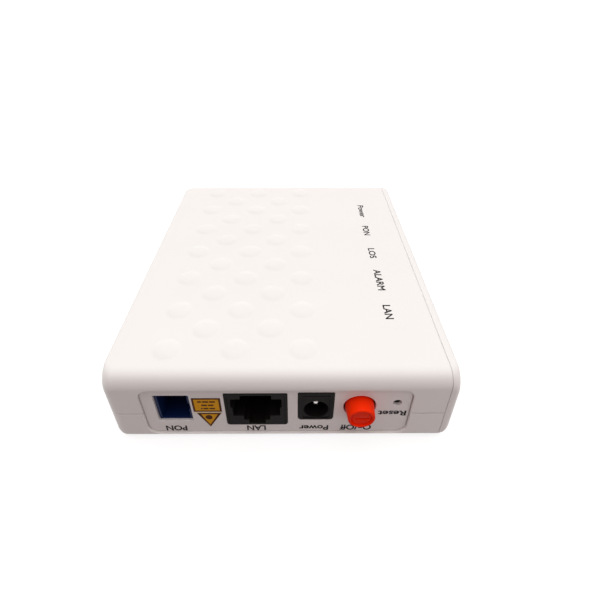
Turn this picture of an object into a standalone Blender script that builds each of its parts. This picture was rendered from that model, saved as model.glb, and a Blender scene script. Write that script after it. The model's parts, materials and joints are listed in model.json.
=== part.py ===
"""Optical network terminal: a small desktop box with a fibre port, a network port, a power
inlet, a latching power button and a pinhole reset button.

Metres, +Z up. The case lies on its rubber feet, with the ports facing -Y and the dimpled
cover on top. The origin is the middle of the underside of the whole object.

Lengths below are in millimetres, in case coordinates: x from the middle of the case, y behind
the front face, and z above the underside of the lower shell. place() turns them into metres.
"""

import math

import bmesh
import bpy
from mathutils import Matrix, Vector

MM = 0.001

# Case
WIDTH = 89.0
DEPTH = 113.0
HEIGHT = 22.8
WALL = 1.8
GAP = 0.3
LEFT = -WIDTH / 2
RIGHT = WIDTH / 2
PARTING_Z = 9.65
TOP_EDGE_RADIUS = 4.2
BOTTOM_EDGE_RADIUS = 1.5
LEFT_END_RADII = (3.0, 1.1, 2.5)     # at the front and back, at the top, at the bottom
CAP_END_RADII = (1.6, 1.3, 2.2)
SEAM_X = 42.0
LIP_OFFSET = 1.2
LIP_HEIGHT = 1.5

# Feet
FOOT_RADIUS = 4.5
FOOT_DROP = 0.8
FOOT_SEAT = 0.7
FOOT_X = 28.5
FOOT_Y = (15.0, 98.0)

# Domes on the cover: five staggered columns
DOME_RADIUS = 3.65
DOME_HEIGHT = 0.4
DOME_COLUMN_X = -29.7
DOME_COLUMN_PITCH = 8.83
DOME_FIRST_Y = 10.2
DOME_ROW_PITCH = 15.6
DOME_ROWS = (7, 6, 7, 6, 7)

# Connector panel, set back from the front face
PANEL_LEFT = -35.45
PANEL_RIGHT = 32.98
PANEL_LOW = 1.2
PANEL_HIGH = 18.4
PANEL_SETBACK = 0.8
PANEL_THICKNESS = 1.5
PANEL_CORNER = 3.0
PORT_GAP = 0.25
PORT_FACE_Y = 0.75

# Network jack
LAN_LEFT = -14.39
LAN_RIGHT = 1.43
LAN_LOW = 4.15
LAN_HIGH = 16.69
LAN_DEPTH = 18.0
LAN_MOUTH_WIDTH = 12.1
LAN_MOUTH_LOW = 8.0
LAN_MOUTH_HIGH = 14.45
LAN_MOUTH_DEPTH = 13.0
LAN_CONTACTS = 8
LAN_CONTACT_PITCH = 1.02
LAN_CONTACT_RADIUS = 0.22

# Power inlet
DC_LEFT = 4.23
DC_RIGHT = 13.28
DC_LOW = 6.25
DC_HIGH = 16.95
DC_DEPTH = 14.0
DC_HOLE = (8.85, 10.15)
DC_HOLE_RADIUS = 3.15
DC_HOLE_DEPTH = 11.3
DC_PIN_RADIUS = 1.0
DC_PIN_TIP_Y = 2.9

# Fibre receptacle
PON_LEFT = -32.2
PON_RIGHT = -23.2
PON_LOW = 5.8
PON_HIGH = 15.97
PON_FACE_Y = 1.5
PON_BACK_Y = 22.0
PON_CAVITY = (7.45, 9.05)
PON_CAVITY_BACK_Y = 20.0
PON_SLEEVE_RADIUS = 1.65

# Power button and its push-push switch
BUTTON = (19.93, 11.54)
BUTTON_HOLE_RADIUS = 4.15
BUTTON_RADIUS = 3.68
BUTTON_PROUD = 3.2
BUTTON_BACK_Y = 3.2
BUTTON_TRAVEL = 2.2
SWITCH_FRONT_Y = 6.6
SWITCH_BACK_Y = 17.0
STEM_HALF = 1.5

# Reset button
RESET = (29.42, 12.87)
RESET_HOLE_RADIUS = 1.15
RESET_PLUNGER_RADIUS = 1.7
RESET_TIP_Y = 3.4

# Circuit board and what hangs from it
BOARD_LOW = 17.25
BOARD_HIGH = 18.85
BOARD_LEFT = -38.5
BOARD_RIGHT = 38.5
BOARD_FRONT = 3.0
BOARD_BACK = 109.0
UNDER_BOARD = BOARD_LOW - GAP
LED_X = 35.2
LED_FIRST_Y = 25.3
LED_PITCH = 15.5
LED_COUNT = 5

# Screws: position in x and y
CASE_SCREWS = ((-37.5, 8.5), (37.0, 8.5), (-37.5, 104.5), (37.0, 104.5))
BOARD_SCREWS = ((-28.0, 100.0), (28.0, 100.0))

FRONT_Y = -(DEPTH - BUTTON_PROUD) / 2
SHELL_END_X = SEAM_X - GAP / 2
CAP_START_X = SEAM_X + GAP / 2
CEILING = HEIGHT - WALL
PANEL_BACK_Y = PANEL_SETBACK + PANEL_THICKNESS
LAN_X = (LAN_LEFT + LAN_RIGHT) / 2
PON_X = (PON_LEFT + PON_RIGHT) / 2
PON_Z = (PON_LOW + PON_HIGH) / 2

# Colour, roughness and metallic of each material
FINISHES = {
    "white_plastic": ((0.87, 0.86, 0.85), 0.35, 0.0),
    "panel_plastic": ((0.80, 0.79, 0.78), 0.42, 0.0),
    "grey_rubber": ((0.12, 0.12, 0.12), 0.85, 0.0),
    "screw_steel": ((0.55, 0.55, 0.56), 0.35, 1.0),
    "black_plastic": ((0.018, 0.018, 0.018), 0.45, 0.0),
    "gold_contact": ((0.83, 0.62, 0.25), 0.25, 1.0),
    "nickel": ((0.70, 0.68, 0.65), 0.25, 1.0),
    "blue_plastic": ((0.01, 0.06, 0.30), 0.40, 0.0),
    "orange_plastic": ((0.80, 0.04, 0.002), 0.38, 0.0),
    "zirconia": ((0.85, 0.84, 0.80), 0.30, 0.0),
    "circuit_green": ((0.02, 0.16, 0.06), 0.45, 0.0),
    "chip_resin": ((0.03, 0.03, 0.03), 0.55, 0.0),
    "plunger_grey": ((0.32, 0.26, 0.25), 0.50, 0.0),
    "thermal_grey": ((0.35, 0.37, 0.40), 0.80, 0.0),
    "aluminium": ((0.62, 0.63, 0.64), 0.40, 1.0),
    "capacitor_sleeve": ((0.04, 0.05, 0.09), 0.35, 0.0),
    "ferrite": ((0.07, 0.07, 0.07), 0.70, 0.0),
    "led_resin": ((0.75, 0.80, 0.62), 0.30, 0.0),
    "sticker_yellow": ((0.72, 0.42, 0.05), 0.50, 0.0),
}


# ---------------------------------------------------------------- scene helpers

def clear_scene():
    """Remove every object that the file starts with."""
    for old in list(bpy.data.objects):
        bpy.data.objects.remove(old, do_unlink=True)


def new_collection(name):
    """Add a collection to the scene."""
    collection = bpy.data.collections.new(name)
    bpy.context.scene.collection.children.link(collection)
    return collection


def make_materials():
    """One Principled material for each finish."""
    materials = {}
    for name, (colour, roughness, metallic) in FINISHES.items():
        material = bpy.data.materials.new(name)
        material.use_nodes = True
        shader = material.node_tree.nodes["Principled BSDF"]
        shader.inputs["Base Color"].default_value = (*colour, 1.0)
        shader.inputs["Roughness"].default_value = roughness
        shader.inputs["Metallic"].default_value = metallic
        materials[name] = material
    return materials


def place(point):
    """Case coordinates in millimetres to the world in metres."""
    x, y, z = point
    return Vector((x, FRONT_Y + y, FOOT_DROP + z)) * MM


def mesh_object(name, bm, collection):
    """Turn a bmesh into an object whose origin is the middle of its own box."""
    bmesh.ops.recalc_face_normals(bm, faces=bm.faces)
    mesh = bpy.data.meshes.new(name)
    bm.to_mesh(mesh)
    bm.free()
    corners = [vertex.co.copy() for vertex in mesh.vertices]
    low = Vector([min(corner[axis] for corner in corners) for axis in range(3)])
    high = Vector([max(corner[axis] for corner in corners) for axis in range(3)])
    centre = (low + high) / 2
    mesh.transform(Matrix.Translation(-centre))
    item = bpy.data.objects.new(name, mesh)
    item.location = centre
    collection.objects.link(item)
    return item


def add_part(name, bm, finish, smooth=False):
    """A piece of the object, in its own material."""
    part = mesh_object(name, bm, PARTS)
    part.data.materials.append(MATERIALS[finish])
    if smooth:
        part.data.shade_smooth()
        part.data.set_sharp_from_angle(angle=math.radians(35))
    return part


def add_cutter(name, bm):
    """A solid that only shapes other pieces."""
    cutter = mesh_object(name, bm, CUTTERS)
    cutter.hide_render = True
    cutter.display_type = "WIRE"
    return cutter


def combine(part, tool, operation):
    """Cut a piece with a tool, or join the tool to it."""
    modifier = part.modifiers.new(f"{operation.lower()}_{tool.name}", "BOOLEAN")
    modifier.operation = operation
    modifier.solver = "EXACT"
    modifier.object = tool


def soften(part, width, segments=1):
    """Round every sharp edge of a piece."""
    modifier = part.modifiers.new("soft_edges", "BEVEL")
    modifier.width = width * MM
    modifier.segments = segments
    modifier.limit_method = "ANGLE"
    modifier.angle_limit = math.radians(40)


# ---------------------------------------------------------------- shape helpers

def box(bm, low, high):
    """A box between two corners."""
    low = place(low)
    high = place(high)
    size = high - low
    matrix = Matrix.Translation((low + high) / 2) @ Matrix.Diagonal((*size, 1.0))
    return bmesh.ops.create_cube(bm, size=1.0, matrix=matrix)["verts"]


def rounded_bar(bm, low, high, radius, along, segments=4):
    """A box whose four edges along one axis are rounded."""
    verts = box(bm, low, high)
    edges = set()
    for vert in verts:
        for edge in vert.link_edges:
            span = edge.verts[1].co - edge.verts[0].co
            if abs(span[along]) > 0.99 * span.length:
                edges.add(edge)
    bmesh.ops.bevel(
        bm, geom=list(edges), offset=radius * MM, segments=segments, profile=0.5, affect="EDGES"
    )


def rod(bm, start, end, radius, end_radius=None, segments=16):
    """A cylinder or cone between two points."""
    start = place(start)
    end = place(end)
    axis = end - start
    turn = axis.to_track_quat("Z", "Y").to_matrix().to_4x4()
    bmesh.ops.create_cone(
        bm,
        cap_ends=True,
        segments=segments,
        radius1=radius * MM,
        radius2=(radius if end_radius is None else end_radius) * MM,
        depth=axis.length,
        matrix=Matrix.Translation((start + end) / 2) @ turn,
    )


def edge_inset(distance, radius):
    """How far a rounded edge has fallen back at a distance from the end face."""
    if distance >= radius:
        return 0.0
    return radius - math.sqrt(radius ** 2 - (radius - distance) ** 2)


def case_outline(side, top, bottom, offset, segments):
    """The case's outline in y and z, with its faces moved in by the given insets."""
    upper = max(TOP_EDGE_RADIUS - offset - min(side, top), 0.3)
    lower = max(BOTTOM_EDGE_RADIUS - offset - min(side, bottom), 0.3)
    front = offset + side
    back = DEPTH - offset - side
    low = offset + bottom
    high = HEIGHT - offset - top
    corners = (
        (front + lower, low + lower, lower, 180),
        (back - lower, low + lower, lower, 270),
        (back - upper, high - upper, upper, 0),
        (front + upper, high - upper, upper, 90),
    )
    points = []
    for y, z, radius, start in corners:
        for step in range(segments + 1):
            angle = math.radians(start + 90 * step / segments)
            points.append((y + radius * math.cos(angle), z + radius * math.sin(angle)))
    return points


def end_stations(radii, steps):
    """Distances from an end face that follow the end's largest edge radius."""
    if radii is None:
        return [0.0]
    return [max(radii) * (1 - math.cos(math.pi / 2 * step / steps)) for step in range(steps + 1)]


def case_body(bm, x_low, x_high, offset, left_radii, right_radii, segments=4, steps=4):
    """The case's outline carried along x, rounded at its ends."""
    stations = [(x_low + gap, gap, None) for gap in end_stations(left_radii, steps)]
    stations += [(x_high - gap, None, gap) for gap in reversed(end_stations(right_radii, steps))]
    rings = []
    for x, from_left, from_right in stations:
        insets = [0.0, 0.0, 0.0]
        if left_radii and from_left is not None:
            insets = [edge_inset(from_left, radius) for radius in left_radii]
        if right_radii and from_right is not None:
            insets = [edge_inset(from_right, radius) for radius in right_radii]
        outline = case_outline(*insets, offset, segments)
        rings.append([bm.verts.new(place((x, y, z))) for y, z in outline])
    for ring, following in zip(rings, rings[1:]):
        for index in range(len(ring)):
            after = (index + 1) % len(ring)
            bm.faces.new((ring[index], ring[after], following[after], following[index]))
    bm.faces.new(rings[0])
    bm.faces.new(rings[-1])


# ---------------------------------------------------------------- shells

def dome_centres():
    """Middle of each dome: the even columns start half a row further back."""
    centres = []
    for column, rows in enumerate(DOME_ROWS):
        stagger = DOME_ROW_PITCH / 2 if column % 2 else 0.0
        for row in range(rows):
            x = DOME_COLUMN_X + column * DOME_COLUMN_PITCH
            y = DOME_FIRST_Y + stagger + row * DOME_ROW_PITCH
            centres.append((x, y))
    return centres


def add_domes():
    """Shallow domes as turned caps that reach a little into the cover."""
    bm = bmesh.new()
    sphere = (DOME_RADIUS ** 2 + DOME_HEIGHT ** 2) / (2 * DOME_HEIGHT)
    middle = DOME_RADIUS * 0.62
    shoulder = math.sqrt(sphere ** 2 - middle ** 2) - sphere + DOME_HEIGHT
    for x, y in dome_centres():
        rod(bm, (x, y, HEIGHT), (x, y, HEIGHT + shoulder), DOME_RADIUS, middle, 12)
        rod(bm, (x, y, HEIGHT + shoulder), (x, y, HEIGHT + DOME_HEIGHT), middle, 0.25, 12)
        rod(bm, (x, y, HEIGHT - 0.6), (x, y, HEIGHT), DOME_RADIUS, DOME_RADIUS, 12)
    bmesh.ops.remove_doubles(bm, verts=bm.verts, dist=0.001 * MM)
    inner = [face for face in bm.faces if len(face.verts) > 4 and is_covered(face)]
    bmesh.ops.delete(bm, geom=inner, context="FACES_ONLY")
    return add_cutter("domes", bm)


def is_covered(face):
    """Whether a flat cap lies between two stacked stages of a dome."""
    z = face.calc_center_median().z / MM - FOOT_DROP
    return HEIGHT - 0.01 < z < HEIGHT + DOME_HEIGHT - 0.01


def shell_cavity():
    """The hollow inside both shells."""
    bm = bmesh.new()
    case_body(
        bm, LEFT + WALL, SHELL_END_X - WALL, WALL, (1.2, 0.5, 0.5), None, segments=3, steps=2
    )
    return add_cutter("shell_cavity", bm)


def half_space(name, low, high):
    """A block wider than the case, between two heights."""
    bm = bmesh.new()
    box(bm, (LEFT - 5, -5, low), (RIGHT + 5, DEPTH + 5, high))
    return add_cutter(name, bm)


def lip_bar(name, offset, low, high):
    """A block with the case's plan, moved in by an offset."""
    bm = bmesh.new()
    corner_low = (LEFT + offset, offset, low)
    corner_high = (SHELL_END_X - offset, DEPTH - offset, high)
    rounded_bar(bm, corner_low, corner_high, LEFT_END_RADII[0] - offset, along=2, segments=3)
    return add_cutter(name, bm)


def panel_window():
    """The opening in the front walls that the connector panel fills."""
    bm = bmesh.new()
    rounded_bar(
        bm, (PANEL_LEFT, -2, PANEL_LOW), (PANEL_RIGHT, 4, PANEL_HIGH), PANEL_CORNER, along=1
    )
    return add_cutter("panel_window", bm)


def make_upper_shell(cavity, window):
    """Dimpled cover with its walls, screw bosses and board bosses."""
    bm = bmesh.new()
    case_body(bm, LEFT, SHELL_END_X, 0.0, LEFT_END_RADII, None, segments=5)
    shell = add_part("upper_shell", bm, "white_plastic", smooth=True)
    combine(shell, half_space("below_parting", -5, PARTING_Z + GAP / 2), "DIFFERENCE")
    combine(shell, cavity, "DIFFERENCE")
    rebate_top = PARTING_Z + LIP_HEIGHT + GAP
    rebate = lip_bar("lip_rebate", LIP_OFFSET - GAP, PARTING_Z - 2, rebate_top)
    combine(shell, rebate, "DIFFERENCE")

    bosses = bmesh.new()
    pilots = bmesh.new()
    for x, y in CASE_SCREWS:
        rod(bosses, (x, y, PARTING_Z + 0.5), (x, y, CEILING + 0.5), 2.8)
        rod(pilots, (x, y, PARTING_Z - 1), (x, y, BOARD_LOW + 1), 1.25, segments=12)
    for x, y in BOARD_SCREWS:
        rod(bosses, (x, y, BOARD_HIGH + GAP), (x, y, CEILING + 0.5), 2.5)
        rod(pilots, (x, y, BOARD_HIGH), (x, y, CEILING + 0.3), 1.15, segments=12)
    combine(shell, add_cutter("upper_bosses", bosses), "UNION")
    combine(shell, add_cutter("upper_pilots", pilots), "DIFFERENCE")
    combine(shell, window, "DIFFERENCE")
    combine(shell, add_domes(), "UNION")


def make_lower_shell(cavity, window):
    """Floor and lower walls, with the lip, screw bosses, foot seats and vent slots."""
    bm = bmesh.new()
    case_body(bm, LEFT, SHELL_END_X, 0.0, LEFT_END_RADII, None, segments=5)
    shell = add_part("lower_shell", bm, "white_plastic", smooth=True)
    combine(shell, half_space("above_parting", PARTING_Z - GAP / 2, HEIGHT + 5), "DIFFERENCE")
    lip = lip_bar("lip", LIP_OFFSET, PARTING_Z - 1, PARTING_Z + LIP_HEIGHT)
    combine(shell, lip, "UNION")
    combine(shell, cavity, "DIFFERENCE")
    bosses = bmesh.new()
    head_holes = bmesh.new()
    shank_holes = bmesh.new()
    for x, y in CASE_SCREWS:
        rod(bosses, (x, y, WALL - 0.8), (x, y, PARTING_Z - 0.1), 3.2)
        rod(head_holes, (x, y, -2), (x, y, 6), 2.4)
        rod(shank_holes, (x, y, 5), (x, y, PARTING_Z + 1), 1.25, segments=12)
    combine(shell, add_cutter("lower_bosses", bosses), "UNION")
    combine(shell, add_cutter("screw_head_holes", head_holes), "DIFFERENCE")
    combine(shell, add_cutter("screw_shank_holes", shank_holes), "DIFFERENCE")
    openings = bmesh.new()
    for y in FOOT_Y:
        for x in (-FOOT_X, FOOT_X):
            rod(openings, (x, y, -2), (x, y, FOOT_SEAT), FOOT_RADIUS + GAP, segments=20)
    for row in range(12):
        y = 38 + row * 3.6
        for x in (-14, 14):
            box(openings, (x - 11, y - 0.8, -2), (x + 11, y + 0.8, WALL + 1))
    combine(shell, add_cutter("floor_openings", openings), "DIFFERENCE")
    combine(shell, window, "DIFFERENCE")


def make_side_cap():
    """End plate behind the seam."""
    bm = bmesh.new()
    case_body(bm, CAP_START_X, RIGHT, 0.0, None, CAP_END_RADII, segments=5)
    add_part("side_cap", bm, "white_plastic", smooth=True)


def make_feet():
    """Four round feet in their seats."""
    number = 0
    for y in FOOT_Y:
        for x in (-FOOT_X, FOOT_X):
            number += 1
            bm = bmesh.new()
            rod(bm, (x, y, -FOOT_DROP), (x, y, FOOT_SEAT - GAP), FOOT_RADIUS, segments=20)
            add_part(f"rubber_foot_{number}", bm, "grey_rubber", smooth=True)


def make_screw(name, x, y, head_low, head_radius, head_height, tip, shank_radius):
    """Pan-head screw driven upwards, with a cross recess."""
    bm = bmesh.new()
    rod(bm, (x, y, head_low), (x, y, head_low + head_height), head_radius)
    screw = add_part(name, bm, "screw_steel", smooth=True)
    shank = bmesh.new()
    top = head_low + head_height
    rod(shank, (x, y, top - 0.3), (x, y, tip), shank_radius, shank_radius * 0.7, segments=12)
    combine(screw, add_cutter(f"{name}_shank", shank), "UNION")
    arm = head_radius * 0.55
    for number, (reach_x, reach_y) in enumerate(((arm, 0.25), (0.25, arm)), 1):
        slot = bmesh.new()
        low = (x - reach_x, y - reach_y, head_low - 1)
        box(slot, low, (x + reach_x, y + reach_y, head_low + 0.7))
        combine(screw, add_cutter(f"{name}_slot_{number}", slot), "DIFFERENCE")


def make_screws():
    """Case screws from the underside, and board screws from under the board."""
    for number, (x, y) in enumerate(CASE_SCREWS, 1):
        make_screw(f"case_screw_{number}", x, y, 4.2, 2.1, 1.5, 15.5, 0.95)
    for number, (x, y) in enumerate(BOARD_SCREWS, 1):
        make_screw(f"board_screw_{number}", x, y, BOARD_LOW - 1.6, 2.2, 1.3, CEILING, 0.85)


# ---------------------------------------------------------------- front of the case

def make_panel():
    """Recessed plate with an opening for each port, the button and the reset pin."""
    bm = bmesh.new()
    low = (PANEL_LEFT + GAP, PANEL_SETBACK, PANEL_LOW + GAP)
    high = (PANEL_RIGHT - GAP, PANEL_BACK_Y, PANEL_HIGH - GAP)
    rounded_bar(bm, low, high, PANEL_CORNER - GAP, along=1)
    panel = add_part("connector_panel", bm, "panel_plastic")
    windows = (
        (LAN_LEFT, LAN_RIGHT, LAN_LOW, LAN_HIGH, PORT_GAP),
        (DC_LEFT, DC_RIGHT, DC_LOW, DC_HIGH, PORT_GAP),
        (PON_LEFT, PON_RIGHT, PON_LOW, PON_HIGH, 0.0),
    )
    round_holes = ((BUTTON, BUTTON_HOLE_RADIUS, 28), (RESET, RESET_HOLE_RADIUS, 14))
    cuts = bmesh.new()
    for left, right, low, high, gap in windows:
        box(cuts, (left - gap, -1, low - gap), (right + gap, 4, high + gap))
    for (x, z), radius, segments in round_holes:
        rod(cuts, (x, -1, z), (x, 4, z), radius, segments=segments)
    combine(panel, add_cutter("panel_cuts", cuts), "DIFFERENCE")


def make_sticker():
    """Die-cut sticker: a rectangle with a triangle below it."""
    outline = (
        (-22.5, 14.9), (-22.5, 9.7), (-22.1, 9.1), (-18.95, 3.8), (-15.8, 9.1), (-15.4, 9.7), (-15.4, 14.9)
    )
    bm = bmesh.new()
    front = [bm.verts.new(place((x, 0.6, z))) for x, z in outline]
    back = [bm.verts.new(place((x, 0.75, z))) for x, z in outline]
    bm.faces.new(front)
    bm.faces.new(back)
    for index in range(len(front)):
        after = (index + 1) % len(front)
        bm.faces.new((front[index], front[after], back[after], back[index]))
    add_part("port_sticker", bm, "sticker_yellow")


def make_lan_jack():
    """Modular jack: housing, contact carrier and eight sprung contacts."""
    bm = bmesh.new()
    back = PORT_FACE_Y + LAN_DEPTH
    box(bm, (LAN_LEFT, PORT_FACE_Y, LAN_LOW), (LAN_RIGHT, back, LAN_HIGH))
    housing = add_part("lan_jack_housing", bm, "black_plastic")
    half = LAN_MOUTH_WIDTH / 2
    stages = (
        (half, LAN_MOUTH_LOW, LAN_MOUTH_HIGH, back - 1.2),
        (3.95, LAN_MOUTH_HIGH - 1, 15.85, LAN_MOUTH_DEPTH),
        (3.4, 6.25, LAN_MOUTH_LOW + 1, LAN_MOUTH_DEPTH),
        (2.1, 4.75, 7.5, LAN_MOUTH_DEPTH),
        (6.5, 11.2, LAN_MOUTH_HIGH, 4.0),
    )
    for number, (reach, low, high, depth) in enumerate(stages, 1):
        cut = bmesh.new()
        box(cut, (LAN_X - reach, -1, low), (LAN_X + reach, depth, high))
        combine(housing, add_cutter(f"lan_mouth_{number}", cut), "DIFFERENCE")

    bm = bmesh.new()
    low = (LAN_X - half + GAP, LAN_MOUTH_DEPTH + GAP, LAN_MOUTH_LOW + GAP)
    high = (LAN_X + half - GAP, back - 1.2 - GAP, LAN_MOUTH_HIGH - GAP)
    box(bm, low, high)
    add_part("lan_contact_carrier", bm, "black_plastic")
    make_lan_contacts()


def make_lan_contacts():
    """Each contact leaves the carrier, runs forward and folds back down into the mouth."""
    start_x = LAN_X - LAN_CONTACT_PITCH * (LAN_CONTACTS - 1) / 2
    route = ((13.0, 14.2), (4.2, 14.45), (3.6, 14.1), (4.0, 13.7), (10.5, 12.85))
    curve = bpy.data.curves.new("lan_contact", "CURVE")
    curve.dimensions = "3D"
    curve.bevel_depth = LAN_CONTACT_RADIUS * MM
    curve.bevel_resolution = 2
    curve.use_fill_caps = True
    spline = curve.splines.new("POLY")
    spline.points.add(len(route) - 1)
    origin = place((0, 8, 14))
    for point, (y, z) in zip(spline.points, route):
        point.co = (*(place((0, y, z)) - origin), 1.0)
    curve.materials.append(MATERIALS["gold_contact"])
    for number in range(LAN_CONTACTS):
        contact = bpy.data.objects.new(f"lan_contact_{number + 1}", curve)
        contact.location = origin + Vector((start_x + number * LAN_CONTACT_PITCH, 0, 0)) * MM
        PARTS.objects.link(contact)


def make_power_jack():
    """Barrel inlet: housing, centre pin and side spring."""
    x, z = DC_HOLE
    back = PORT_FACE_Y + DC_DEPTH
    bm = bmesh.new()
    rounded_bar(bm, (DC_LEFT, PORT_FACE_Y, DC_LOW), (DC_RIGHT, back, DC_HIGH), 1.2, along=1, segments=2)
    housing = add_part("power_jack_housing", bm, "black_plastic", smooth=True)
    bore = bmesh.new()
    rod(bore, (x, -1, z), (x, PORT_FACE_Y + DC_HOLE_DEPTH, z), DC_HOLE_RADIUS, segments=28)
    combine(housing, add_cutter("power_jack_bore", bore), "DIFFERENCE")
    rear = bmesh.new()
    rod(rear, (x, PORT_FACE_Y + DC_HOLE_DEPTH - 1, z), (x, back + 1, z), DC_PIN_RADIUS + GAP, segments=14)
    combine(housing, add_cutter("power_jack_rear_hole", rear), "DIFFERENCE")

    bm = bmesh.new()
    rod(bm, (x, DC_PIN_TIP_Y, z), (x, back + 0.8, z), DC_PIN_RADIUS, segments=14)
    pin = add_part("power_jack_pin", bm, "nickel", smooth=True)
    soften(pin, 0.3, segments=2)

    bm = bmesh.new()
    low = z - DC_HOLE_RADIUS + 0.55
    box(bm, (x - 0.6, 4.5, low), (x + 0.6, PORT_FACE_Y + DC_HOLE_DEPTH - GAP, low + 0.3))
    add_part("power_jack_spring", bm, "nickel")


def make_fibre_port():
    """Fibre receptacle with its latch and sleeve, and the optical module behind it."""
    half_x = PON_CAVITY[0] / 2
    half_z = PON_CAVITY[1] / 2
    bm = bmesh.new()
    low = (PON_X - 5.0, PANEL_BACK_Y + GAP, PON_Z - 5.6)
    box(bm, low, (PON_X + 5.0, PON_BACK_Y, PON_Z + 5.6))
    receptacle = add_part("pon_receptacle", bm, "blue_plastic")
    nozzle = bmesh.new()
    low = (PON_LEFT + 0.2, PON_FACE_Y, PON_LOW + 0.2)
    box(nozzle, low, (PON_RIGHT - 0.2, PANEL_BACK_Y + 2, PON_HIGH - 0.2))
    combine(receptacle, add_cutter("pon_nozzle", nozzle), "UNION")
    hollow = bmesh.new()
    box(hollow, (PON_X - half_x, -1, PON_Z - half_z), (PON_X + half_x, PON_CAVITY_BACK_Y, PON_Z + half_z))
    combine(receptacle, add_cutter("pon_cavity", hollow), "DIFFERENCE")
    rear = bmesh.new()
    bore = PON_SLEEVE_RADIUS + GAP
    rod(rear, (PON_X, PON_CAVITY_BACK_Y - 1, PON_Z), (PON_X, PON_BACK_Y + 1, PON_Z), bore)
    combine(receptacle, add_cutter("pon_rear_hole", rear), "DIFFERENCE")

    bm = bmesh.new()
    plate_y = PON_CAVITY_BACK_Y - 1.8
    box(bm, (PON_X - 3.3, plate_y, PON_Z - 4.1), (PON_X + 3.3, PON_CAVITY_BACK_Y - GAP, PON_Z + 4.1))
    latch = add_part("pon_inner_latch", bm, "zirconia")
    arms = bmesh.new()
    for side in (-1, 1):
        z_in = PON_Z + side * 2.9
        z_out = PON_Z + side * 3.9
        box(arms, (PON_X - 2, 9.2, min(z_in, z_out)), (PON_X + 2, plate_y + 0.5, max(z_in, z_out)))
    combine(latch, add_cutter("pon_latch_arms", arms), "UNION")
    hole = bmesh.new()
    rod(hole, (PON_X, plate_y - 1, PON_Z), (PON_X, PON_CAVITY_BACK_Y + 1, PON_Z), PON_SLEEVE_RADIUS + GAP)
    combine(latch, add_cutter("pon_latch_hole", hole), "DIFFERENCE")

    bm = bmesh.new()
    rod(bm, (PON_X, 9.2, PON_Z), (PON_X, PON_BACK_Y + 2, PON_Z), PON_SLEEVE_RADIUS)
    sleeve = add_part("pon_ferrule_sleeve", bm, "zirconia", smooth=True)
    bore = bmesh.new()
    rod(bore, (PON_X, 8, PON_Z), (PON_X, PON_BACK_Y, PON_Z), 1.25)
    combine(sleeve, add_cutter("pon_sleeve_bore", bore), "DIFFERENCE")
    make_optical_module()


def make_optical_module():
    """Metal block behind the receptacle, with a laser can and a photodiode can."""
    front = PON_BACK_Y + 2 + GAP
    bm = bmesh.new()
    low = (PON_X - 3.6, front, PON_Z - 3.6)
    rounded_bar(bm, low, (PON_X + 3.6, front + 9, PON_Z + 3.6), 1.0, along=1, segments=2)
    add_part("optical_module_body", bm, "nickel", smooth=True)
    bm = bmesh.new()
    rod(bm, (PON_X, front + 9.3, PON_Z), (PON_X, front + 13, PON_Z), 2.75)
    add_part("laser_can", bm, "nickel", smooth=True)
    bm = bmesh.new()
    rod(bm, (PON_X - 3.9, front + 4.5, PON_Z), (PON_X - 7.4, front + 4.5, PON_Z), 2.3)
    add_part("photodiode_can", bm, "nickel", smooth=True)


# ---------------------------------------------------------------- moving pieces

def add_joint_empty(name, point, pieces):
    """An empty on the joint's axis that carries the moving pieces."""
    joint = bpy.data.objects.new(name, None)
    joint.empty_display_size = 0.004
    joint.location = place(point)
    PARTS.objects.link(joint)
    for piece in pieces:
        piece.parent = joint
        piece.location = piece.location - joint.location


def make_power_button():
    """Round button on the square stem of a push-push switch. It travels along +Y."""
    x, z = BUTTON
    bm = bmesh.new()
    rod(bm, (x, -BUTTON_PROUD, z), (x, BUTTON_BACK_Y, z), BUTTON_RADIUS, segments=32)
    button = add_part("power_button_cap", bm, "orange_plastic", smooth=True)
    soften(button, 0.5, segments=2)
    dish = bmesh.new()
    rod(dish, (x, -BUTTON_PROUD - 1, z), (x, -BUTTON_PROUD + 0.35, z), 2.6, 2.45, segments=24)
    combine(button, add_cutter("button_dish", dish), "DIFFERENCE")
    socket = bmesh.new()
    reach = STEM_HALF + GAP
    box(socket, (x - reach, 0.2, z - reach), (x + reach, BUTTON_BACK_Y + 1, z + reach))
    combine(button, add_cutter("button_socket", socket), "DIFFERENCE")

    bm = bmesh.new()
    box(bm, (x - STEM_HALF, 0.5, z - STEM_HALF), (x + STEM_HALF, SWITCH_FRONT_Y + 2.4, z + STEM_HALF))
    stem = add_part("power_switch_stem", bm, "chip_resin")
    add_joint_empty("power_button_axis", (x, 0, z), (button, stem))

    bm = bmesh.new()
    box(bm, (x - 4.2, SWITCH_FRONT_Y, z - 4.2), (x + 4.2, SWITCH_BACK_Y, UNDER_BOARD))
    body = add_part("power_switch_body", bm, "chip_resin")
    bore = bmesh.new()
    back = SWITCH_FRONT_Y + 2.4 + BUTTON_TRAVEL + GAP
    box(bore, (x - reach, SWITCH_FRONT_Y - 1, z - reach), (x + reach, back, z + reach))
    combine(body, add_cutter("switch_bore", bore), "DIFFERENCE")


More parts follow.
